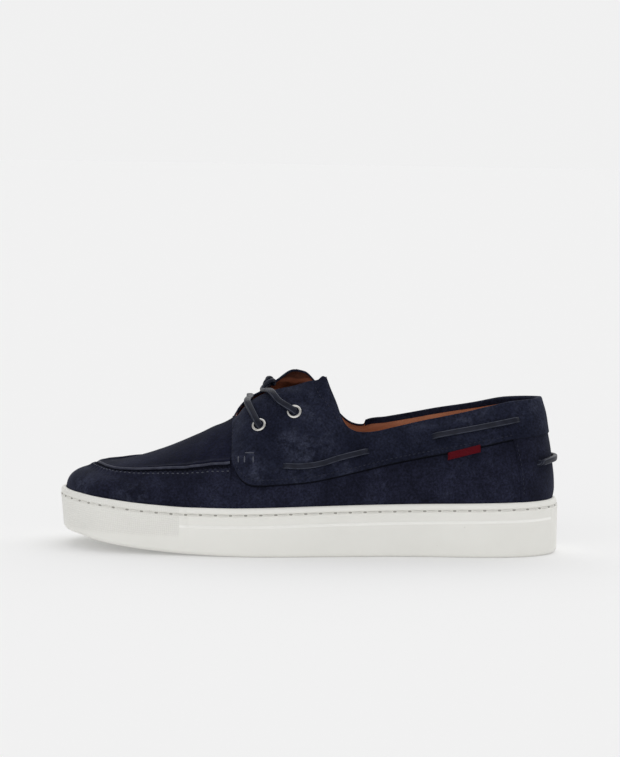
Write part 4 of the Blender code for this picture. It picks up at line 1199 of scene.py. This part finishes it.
def make_quarter(name, side, node):
    """One quarter: its face, the roll over the topline and the part folded inside. Its lower edge is in
    the darker suede, partly the dark cut edge and partly painted shade, with a ribbon of painted shadow
    below.
    """
    marks = stations(THROAT_START, 1, 330, CORNERS + (BAND_START, BAND_START + 0.0009))
    front = [THROAT_START, THROAT_START, THROAT_START + 0.0003, THROAT_START + 0.0009]
    marks = np.concatenate([front, marks[marks > THROAT_START + 0.0015]])
    full = np.ones(len(marks))
    full[:4] = (-0.02, 0.6, 0.88, 1.0)
    full[-1] = 0.72
    turn = turn_at(marks, side)
    top = top_rise(turn_at(marks + 1e-4 * (marks < 0.9), side))
    low = quarter_low(turn)
    edge = rise_step(turn, low, 0.0004)
    rows = [(low, -0.02), (low, 0.55), (low + edge * 0.35, 0.86), (low + edge, 1.0)]
    for share in np.linspace(0, 1, 44)[1:]:
        rows.append((low + edge + (top - low - edge) * share, 1.0))
    points = []
    for rise, lift in rows:
        skived = full * thin((top - rise) / rise_step(turn, rise, 1.0), marks) if lift > 0 else 1.0
        points.append(off_last(turn, rise, PANEL_TOP * lift * skived))
    outer_edge, inner_edge = PANEL_TOP * thin(0.0, marks) * full, UPPER_WALL * thin(0.0, marks) + 0.00025
    centre, half = (outer_edge - inner_edge) / 2, (outer_edge + inner_edge) / 2
    for swing in np.linspace(math.pi / 2, -math.pi / 2, 9)[1:]:
        points.append(off_last(turn, top, centre + half * math.sin(swing), 0.60 * half * math.cos(swing)))
    band = BAND_DEPTH * (1 - 0.30 * ease(marks, 0.75, 0.97))
    depth = np.where(marks > BAND_START + 0.0005, band, RIM_DEPTH)
    down = rise_step(turn, top, depth)
    for share, over in ((0.3, 0.00025), (0.6, 0.00025), (0.92, 0.00025), (1.0, 0.00018), (1.0, -0.0002)):
        points.append(off_last(turn, top - down * share, -UPPER_WALL * thin(depth * share, marks) - over))
    points = np.array(points)
    # A ribbon of painted shadow on the vamp just below the lower edge
    shadow_ribbon = [
        off_last(turn, low - rise_step(turn, low, away), 0.00009) for away in (0.00095, 0.0005, -0.0001)
    ]
    skins = [skin(points[:3], finish=1), skin(points[2:]), skin(np.array(shadow_ribbon), finish=1)]
    made = assemble(name, skins, [quarter_suede, shaded_suede], sharp=50)
    return dress(made, "suede", node)


make_quarter("quarter_panel_outer", -1, "quarter_outer")
make_quarter("quarter_panel_inner", 1, "quarter_inner")


def wall_line(places, heights, side, lifts):
    """Points and outward directions over the wall at places along it and heights over the floor."""
    turn = turn_at(np.asarray(places), side)
    rise = rise_at_height(turn, np.asarray(heights))
    return off_last(turn, rise, np.asarray(lifts)), outward(turn, rise)


# Seams of the quarters, in shares of the length and metres over the floor: down the front and along the
# lower edge, the fold by the collar, and the bars of the box stitch that holds the vamp
SEAM_PITCH = 0.0028
SEAM_STITCH = (0.0019, 0.00050, 0.0005)
TACK = (0.00085, 0.0006)
TACK_HOLE = (0.0011, 0.0010, 0.0006)
EDGE_ROW = table(
    "along height",
    (0.3495, 0.0748), (0.3484, 0.0700), (0.3485, 0.0654), (0.3499, 0.0602), (0.3525, 0.0556),
    (0.3580, 0.0512), (0.3670, 0.0478), (0.3810, 0.0453), (0.3980, 0.0444), (0.4360, 0.0450),
    (0.5010, 0.0467), (0.5420, 0.0488), (0.5890, 0.0519), (0.6670, 0.0572), (0.7300, 0.0610),
    (0.7760, 0.0635), (0.8480, 0.0678), (0.9200, 0.0719),
)
FOLD_ROW = table(
    "along height", (0.5090, 0.0985), (0.5174, 0.0950), (0.5321, 0.0894), (0.5464, 0.0844), (0.5567, 0.0787)
)
BOX_BARS = (
    (0.3610, 0.0535, 0.3610, 0.0576),
    (0.3724, 0.0538, 0.3724, 0.0579),
    (0.3891, 0.0540, 0.3892, 0.0581),
    (0.3713, 0.0594, 0.3924, 0.0597),
)
seam_skins, tack_skins, hole_skins = [], [], []
for side in (-1, 1):
    for rows in (EDGE_ROW, FOLD_ROW) if side < 0 else (EDGE_ROW,):
        spread, given_at = np.linspace(0, 1, 700), np.linspace(0, 1, len(rows["along"]))
        marks, heights = (np.interp(spread, given_at, rows[column]) for column in ("along", "height"))
        line, outs = wall_line(marks, heights, side, PANEL_TOP + 0.00008)
        seam_skins += stitch_row(line, SEAM_PITCH, SEAM_STITCH, outs, 0.001)
    for a0, h0, a1, h1 in BOX_BARS:
        ends, outs = wall_line([a0, a1], [h0, h1], side, PANEL_TOP + 0.00010)
        length = float(np.linalg.norm(ends[1] - ends[0]))
        heading = unit(ends[1:] - ends[:1])
        tack_skins += capsules(ends.mean(0, keepdims=True), heading, outs[:1], length, *TACK, 10, 8)
    spot_at, out_at = wall_line([0.3762], [0.0519], side, [PANEL_TOP - 0.0001])
    hole_skins += capsules(spot_at, unit(np.cross(out_at, [[0, 0, 1.0]])), out_at, *TACK_HOLE, 6, 10)
dress(assemble("quarter_stitches", seam_skins, [navy_thread]), "suede")
dress(assemble("box_stitches", tack_skins, [slate_thread]), "suede")

# Heel counter: a stiffened suede panel round the back of the heel, tucked under the quarters and sewn down
# along both its front edges.
COUNTER_TOP = 0.0010
counter_places = np.concatenate([[-1.0, -1.0, -0.992, -0.975], np.linspace(-0.95, 0.95, 115)])
counter_places = np.concatenate([counter_places, [0.975, 0.992, 1.0, 1.0]])
counter_full = np.ones(len(counter_places))
counter_full[:4], counter_full[-4:] = (-0.05, 0.6, 0.9, 1.0), (1.0, 0.9, 0.6, -0.05)
counter_rows = []
for up_share in np.linspace(0.0, 1, 30):
    edge_place = 0.931 - 0.013 * up_share**2.2
    first, final = turn_at(edge_place, -1), turn_at(edge_place, 1)
    turn = first + (final - first) * (counter_places + 1) / 2
    low = quarter_low(turn)
    rise = (low + rise_step(turn, low, 0.0012)) * up_share
    counter_rows.append(off_last(turn, rise, COUNTER_TOP * counter_full))
counter_suede = suede("counter_suede")
counter = assemble("heel_counter", [skin(np.array(counter_rows))], [counter_suede], sharp=50)
dress(counter, "suede", "heel_patch")
counter_seams = []
for side in (-1, 1):
    heights = np.linspace(0.0365, 0.0670, 60)
    places = 0.9355 - 0.0125 * ((heights - 0.032) / 0.038) ** 2.2
    line, outs = wall_line(places, heights, side, COUNTER_TOP + 0.00008)
    counter_seams += stitch_row(line, SEAM_PITCH, SEAM_STITCH, outs)
dress(assemble("counter_stitches", counter_seams, [navy_thread]), "suede")

# Tongue: a soft flap sewn in under the vamp, suede above and leather below, lying low between the quarters.
# Its middle sinks under the throat's edges, so the laces pass over it.
TONGUE = 0.0020
TONGUE_START = 0.300
TONGUE_END = 0.512
TONGUE_ROUND = 0.28
tongue_alongs = np.linspace(TONGUE_START, TONGUE_END, 70)
tongue_across = np.linspace(-1, 1, 45)
along_grid, across_share = np.meshgrid(tongue_alongs, tongue_across)
share = (along_grid - TONGUE_START) / (TONGUE_END - TONGUE_START)
end_share = np.maximum(0, (share - 1 + TONGUE_ROUND) / TONGUE_ROUND)
half_width = TONGUE_HALF_WIDTH * np.sqrt(1.05 - end_share**2)
distance = np.maximum(np.abs(across_share) * half_width, 1e-5)
side_of = np.where(across_share < 0, -1, 1)
under = UPPER_WALL + 3 * GAP
turn = turn_at(along_grid, side_of)
tongue_face = off_last(turn, rise_at_distance(turn, distance), -under)
opening = np.minimum(along_grid, INNER_CORNER)
edges = []
for one in (-1, 1):
    t = turn_at(opening, one)
    throat_rise = rise_at_distance(t, read(THROAT, "half_gap", opening) * TONGUE_HALF_WIDTH)
    edges.append(last(t, throat_rise)[..., 2])
blend = np.clip((along_grid - THROAT_START) / 0.04, 0, 1)
limit = np.minimum(*edges) - under - blend * TONGUE - 0.12 * distance
in_throat = along_grid > THROAT_START
tongue_face[..., 2] = np.where(in_throat, np.minimum(tongue_face[..., 2], limit), tongue_face[..., 2])
inwards = unit(np.stack([0 * across_share, 0.3 * across_share, np.ones_like(across_share)], -1))
tongue_back = tongue_face - inwards * TONGUE
ring_of = lambda p: np.concatenate([p[:, 0], p[-1, 1:], p[::-1, -1][1:], p[0, ::-1][1:]])
face_ring, back_ring = ring_of(tongue_face), ring_of(tongue_back)
tongue_rim = [face_ring * (1 - part) + back_ring * part for part in np.linspace(0, 1, 5)]
tongue = assemble(
    "tongue_flap",
    [skin(tongue_face, flip=True), skin(tongue_back, finish=1), skin(np.array(tongue_rim))],
    [vamp_suede, lining], sharp=60,
)
dress(tongue, "suede", "tongue")

# Eyelets: rolled nickel rings, one pair on each quarter, pressed through the suede. The hole in each is
# closed by a dark disc of painted shade.
EYELET_WIDTH = 0.0086
EYELET_HOLE = 0.0055
EYELET_RIM = 0.0008
EYELETS = table("along outer inner", (0.400, 0.812, 0.822), (0.470, 0.901, 0.920))
nickel, tree, shader, bump = finish_of("nickel", 0.24, 0.00003, Metallic=1.0)
rub = noise(tree, spot_of(tree), 700.0, 3.0)
paint(tree, shader, rub, (0.50, 0.49, 0.46), (0.74, 0.73, 0.70))
tree.links.new(ramp(tree, rub, 0.3, 0.7, 0.16, 0.34), shader.inputs["Roughness"])
tree.links.new(rub, bump.inputs["Height"])
# Dark discs of painted shade for the inside of each hole, also used for the lace slots and the pinhole
hole_shade, tree, shader, bump = finish_of("eyelet_hole_shade", 0.9, 0.0001, Specular_IOR_Level=0.1)
fuzz = add(tree, "TexNoise", {"Scale": 900.0}).outputs["Fac"]
paint(tree, shader, fuzz, (0.004, 0.004, 0.006), (0.010, 0.010, 0.014))


def eyelet_seat(along, side, height):
    """Middle of an eyelet on the leather, and the direction that it faces."""
    turn = turn_at(along, side)
    rise = rise_at_height(turn, height * HEEL_TOP)
    return off_last(turn, rise, 0.0), outward(turn, rise)


def eyelet_ring(name, along, side, height, node):
    """One ring, from inside its barrel over the rolled rim to the suede, with painted shade in its hole."""
    seat, out = (v.reshape(3) for v in eyelet_seat(np.array([along]), side, height))
    first = np.cross(out, [0, 0, 1])
    first /= np.linalg.norm(first)
    turns = np.linspace(0, math.tau, 57)
    circle = np.cos(turns)[:, None] * first + np.sin(turns)[:, None] * np.cross(out, first)
    hole, edge = EYELET_HOLE / 2, EYELET_WIDTH / 2
    middle, reach = (hole + edge) / 2, (edge - hole) / 2 + 0.0001
    profile = [(hole - 0.0002, -0.0012), (hole - 0.0002, -0.0004)]
    for k in range(11):
        swing = math.pi * (1 - k / 10)
        profile.append((middle + reach * math.cos(swing), EYELET_RIM * math.sin(swing) ** 0.8))
    profile.append((edge, -0.0003))
    rows = [seat + out * (PANEL_TOP + z) + radius * circle for radius, z in profile]
    disc = [seat + out * (PANEL_TOP - 0.0009) + radius * circle for radius in (hole, 0.0)]
    made = assemble(name, [skin(np.array(rows)), skin(np.array(disc), finish=1)], [nickel, hole_shade], sharp=60)
    return dress(made, "metal", node)


for row, end in enumerate(("front", "rear")):
    for edge, side in (("outer", -1), ("inner", 1)):
        ring_name, node = f"ring_{edge}_{end}", f"eyelet_{edge}_{end}"
        eyelet_ring(ring_name, EYELETS["along"][row], side, EYELETS[edge][row], node)

# Laces: flat-sided rawhide cord, 3.6 mm wide. Two strands cross the throat from eyelet to eyelet under a
# knot, and one lace runs round the collar, showing in five places and diving into a slot at each end.
LACE = 0.0036
rawhide, tree, shader, bump = finish_of("rawhide_lace", 0.48, 0.00008, Specular_IOR_Level=0.18)
spot = spot_of(tree)
skin_grain, waxed = noise(tree, spot, 1300.0, 3.0), noise(tree, spot, 210.0, 4.0)
waxy = ramp(tree, waxed, 0.35, 0.7)
cord_tone = mixed(tree, waxy, (0.0058, 0.0074, 0.0156, 1), (0.0120, 0.0140, 0.0262, 1))
metres = add(tree, "UVMap", uv_map="metres").outputs[0]
# The cord's UVs hold its turn in thousandths, so doubling it finds the four corners of its square section
round_it = times(tree, add(tree, "SeparateXYZ", {0: metres}).outputs[1], 2000.0)
corner = ramp(tree, calc(tree, "ABSOLUTE", calc(tree, "SINE", round_it)), 0.80, 0.99)
# Painted highlight: the cord's corners are painted paler where the light catches them, broken up by the wax
corner_highlight = times(tree, corner, ramp(tree, waxed, 0.30, 0.55, 0.35, 0.95))
tree.links.new(mixed(tree, corner_highlight, cord_tone, (0.048, 0.054, 0.078, 1)), shader.inputs["Base Color"])
tree.links.new(ramp(tree, waxed, 0.3, 0.7, 0.36, 0.50), shader.inputs["Roughness"])
tree.links.new(calc(tree, "MULTIPLY_ADD", waxed, 0.8, times(tree, skin_grain, 0.5)), bump.inputs["Height"])


def flowing(points, closeness=0.0006):
    """Points along one smooth curve through the given ones."""
    points = np.asarray(points, float)
    ends = np.concatenate([[2 * points[0] - points[1]], points, [2 * points[-1] - points[-2]]])
    route = []
    for i in range(1, len(ends) - 2):
        a, b, c, d = ends[i - 1: i + 3]
        steps = max(2, round(np.linalg.norm(c - b) / closeness))
        u = (np.arange(steps) / steps)[:, None]
        curve = 2 * b + (c - a) * u + (2 * a - 5 * b + 4 * c - d) * u**2 + (3 * b - a - 3 * c + d) * u**3
        route.append(0.5 * curve)
    return np.concatenate([*route, points[-1:]])


def lace_tube(name, points, outs, width=LACE, height=None, around=20):
    """Cord with softly square sides along a route. outs says where its flat face looks at each point."""
    height = height or width * 0.70
    ahead = unit(np.gradient(points, axis=0))
    sides = unit(np.cross(ahead, outs))
    ups = np.cross(sides, ahead)
    turn = np.linspace(0, math.tau, around + 1)
    square = lambda v: np.sign(v) * np.abs(v) ** 0.58
    ring_side, ring_up = square(np.cos(turn)) * width / 2, square(np.sin(turn)) * height / 2
    ring_side[-1], ring_up[-1] = ring_side[0], ring_up[0]
    girth = sides[:, None] * ring_side[None, :, None] + ups[:, None] * ring_up[None, :, None]
    rows = points[:, None] + girth
    uv = np.stack(np.broadcast_arrays(lengths(points)[:, None], turn[None] * 0.001), -1)
    caps = []
    for end, first in ((0, rows[0]), (-1, rows[-1])):
        middle = points[end] - ahead[end] * (0.0004 if end == 0 else -0.0004)
        cap = np.array([first, first * 0.35 + middle * 0.65, np.broadcast_to(middle, first.shape)])
        caps.append(skin(cap, cap[..., :2], flip=end == 0))
    return assemble(name, [skin(rows, uv), *caps], [rawhide], sharp=60)


# Where the throat strands pass the edges, and their middle's place and height
LACE_MIDDLE = table("edge middle height", (0.381, 0.377, 0.968), (0.425, 0.404, 1.022))
STRAND_WIDTH = 0.0041
SHOULDER = table("along below", (0.386, 0.110), (0.441, 0.120))


def throat_edge(along, side):
    """Turn and rise of the throat's edge."""
    turn = turn_at(np.array([along]), side)
    return turn, rise_at_distance(turn, read(THROAT, "half_gap", np.array([along])) * TONGUE_HALF_WIDTH)


def over_crest(along, height):
    """Point over the crest of the foot, at a share of the heel's height."""
    along = np.array([along])
    x, _ = outline(turn_at(along, -1), UPPER_INSET, UPPER_TOE_INSET, UPPER_HEEL_INSET)
    return np.array([float(x[0]), float(read(LAST, "ridge", along)[0]) * BALL_WIDTH, height * HEEL_TOP])


for row, end in enumerate(("front", "rear")):
    edge, middle, height = (LACE_MIDDLE[k][row] for k in ("edge", "middle", "height"))
    clear = PANEL_TOP + EYELET_RIM + LACE * 0.42
    half_route = {}
    for column, side in (("outer", -1), ("inner", 1)):
        along = np.array([EYELETS["along"][row]])
        seat, out = (v.reshape(3) for v in eyelet_seat(along, side, EYELETS[column][row]))
        turn, rise = throat_edge(edge, side)
        passing = off_last(turn, rise - 0.035, clear - (0.0004 if side < 0 else 0.0019)).reshape(3)
        hole = seat + out * -0.0006
        mouth = seat + out * (PANEL_TOP + 0.0011) + 0.00072 * unit(passing - seat)
        half_route[column] = (hole, mouth, passing)
        if side < 0:
            turn, rise = throat_edge(SHOULDER["along"][row], side)
            bend = off_last(turn, rise - SHOULDER["below"][row], clear + 0.0004).reshape(3)
            half_route[column] = (hole, mouth, bend, passing)
    top = over_crest(middle, height)
    route = flowing([*half_route["outer"], top, *half_route["inner"][::-1]])
    outs = unit(np.stack([0 * route[:, 0], (route[:, 1] - top[1]) * 0.8, np.full(len(route), 0.018)], -1))
    strand = lace_tube(f"lace_{end}_strand", route, outs, width=STRAND_WIDTH, height=STRAND_WIDTH * 0.62)
    dress(strand, "lace", "lace_crossing")

# Knot of the lace: one short loop thrown over the crossing and pulled in
KNOT_PLACE = (0.4160, 1.0620)
KNOT_CORD = (0.0028, 0.0024)
KNOT_WAY = (
    (-0.0040, -0.0054, -0.0040), (-0.0026, -0.0044, -0.0012), (-0.0004, -0.0038, 0.0012),
    (0.0016, -0.0026, 0.0020), (0.0024, 0.0002, 0.0016), (0.0020, 0.0030, 0.0008), (0.0002, 0.0042, 0.0002),
    (-0.0018, 0.0032, -0.0006), (-0.0026, 0.0004, -0.0010), (-0.0020, -0.0020, 0.0006),
    (-0.0006, -0.0014, 0.0032), (0.0010, 0.0008, 0.0028), (0.0028, 0.0032, -0.0010),
)
knot_route = flowing(over_crest(*KNOT_PLACE) + np.array(KNOT_WAY), 0.0004)
knot_faces = np.broadcast_to([0.1, 0.2, 1.0], knot_route.shape)
knot = lace_tube("knot_loop", knot_route, knot_faces, width=KNOT_CORD[0], height=KNOT_CORD[1])
dress(knot, "lace", "lace_knot")

# Side runs of the collar lace, and its loop round the heel
LACE_FRONT = table(
    "along height", (0.449, 0.572), (0.472, 0.567), (0.508, 0.577), (0.561, 0.623), (0.620, 0.666)
)
LACE_REAR = table("along height", (0.750, 0.758), (0.802, 0.790), (0.854, 0.822), (0.932, 0.871))
HEEL_LOOP = table("along height", (0.968, 0.594), (0.985, 0.606), (1.000, 0.612))
SLOT = (0.0034, LACE * 1.05, 0.0009)
slot_skins = []
for column, side in (("outer", -1), ("inner", 1)):
    for end, rows in (("front", LACE_FRONT), ("rear", LACE_REAR)):
        marks = np.linspace(rows["along"][0], rows["along"][-1], 60)
        heights = smooth_curve(rows["along"], rows["height"], marks) * HEEL_TOP
        reach = np.minimum(marks - marks[0], marks[-1] - marks) * UPPER_LENGTH
        lifts = PANEL_TOP + LACE * 0.36 - 0.0032 * (1 - ease(reach, -0.001, 0.0042)) ** 2
        points, outs = wall_line(marks, heights, side, lifts)
        dress(lace_tube(f"side_run_{column}_{end}", points, outs), "lace", f"side_lace_{column}_{end}")
        for tip, inner in ((0, 3), (-1, -4)):
            spots, normals = wall_line(marks[[tip]], heights[[tip]], side, [PANEL_TOP - 0.0001])
            heading = unit(points[[inner]] - points[[tip]])
            slot_skins += capsules(spots - heading * 0.0009, heading, normals, *SLOT, 8, 14)
# The lace slots and the box stitch's pinhole are dark patches of painted shade
dress(assemble("lace_slots", slot_skins + hole_skins, [hole_shade]), "suede")
marks = np.linspace(HEEL_LOOP["along"][0], 1, 40)
heights = smooth_curve(HEEL_LOOP["along"], HEEL_LOOP["height"], marks) * HEEL_TOP
lifts = COUNTER_TOP + 0.0008 + LACE * 0.36 - 0.0030 * (1 - ease((marks - marks[0]) * 100, -0.05, 0.55)) ** 2
outer_points, _ = wall_line(marks, heights, -1, lifts)
inner_points, _ = wall_line(marks[::-1][1:], heights[::-1][1:], 1, lifts[::-1][1:])
loop_route = flowing(np.concatenate([outer_points, inner_points])[::3], 0.0008)
dress(lace_tube("heel_loop", loop_route, np.array([[1.0, 0, 0]])), "lace", "heel_lace")

# Tab: a short piece of plain woven tape, held in the quarter's lower seam
TAB_LENGTH = 0.0200
TAB_WIDTH = 0.0042
TAB_THICKNESS = 0.0010
TAB = {"along": 0.815, "height": 0.665, "slope": 0.25}
WARP_PITCH = 0.00055
WEFT_PITCH = 0.00042
tape, tree, shader, bump = finish_of("woven_tape", 0.9, 0.00016, Specular_IOR_Level=0.08)
metres = add(tree, "UVMap", uv_map="metres").outputs[0]
axes = add(tree, "SeparateXYZ", {0: metres}).outputs
warp_yarn = calc(tree, "SINE", times(tree, axes[0], math.tau / WARP_PITCH))
weft_yarn = calc(tree, "SINE", times(tree, axes[1], math.tau / WEFT_PITCH))
weave = times(tree, warp_yarn, weft_yarn)
paint(tree, shader, ramp(tree, weave, -1, 1), (0.085, 0.004, 0.009), (0.165, 0.008, 0.016))
tree.links.new(weave, bump.inputs["Height"])
share = np.linspace(-0.5, 0.5, 41)
marks = TAB["along"] + share * TAB_LENGTH / SOLE_LENGTH
middle = TAB["height"] * HEEL_TOP + share * TAB_LENGTH * TAB["slope"]
tab_rows = []
across = (-1, -1, -0.94, -0.8, -0.5, 0, 0.5, 0.8, 0.94, 1, 1)
lift = (0.0, 0.7, 0.93, 1, 1, 1.04, 1, 1, 0.93, 0.7, 0.0)
ends = np.minimum(1, (0.5 - np.abs(share)) * 22 + 0.05)
for k, up in zip(across, lift):
    turn = turn_at(marks, -1)
    rise = rise_at_height(turn, middle + k * TAB_WIDTH / 2)
    tab_rows.append(off_last(turn, rise, PANEL_TOP * 0.6 + (TAB_THICKNESS + PANEL_TOP * 0.4) * up * ends))
tab_across = np.array(across)[:, None] * TAB_WIDTH / 2
tab_uv = np.stack(np.broadcast_arrays((share * TAB_LENGTH)[None], tab_across), -1)
tab = assemble("woven_tab", [skin(np.array(tab_rows), tab_uv)], [tape], sharp=50)
dress(tab, "webbing", "side_tab")
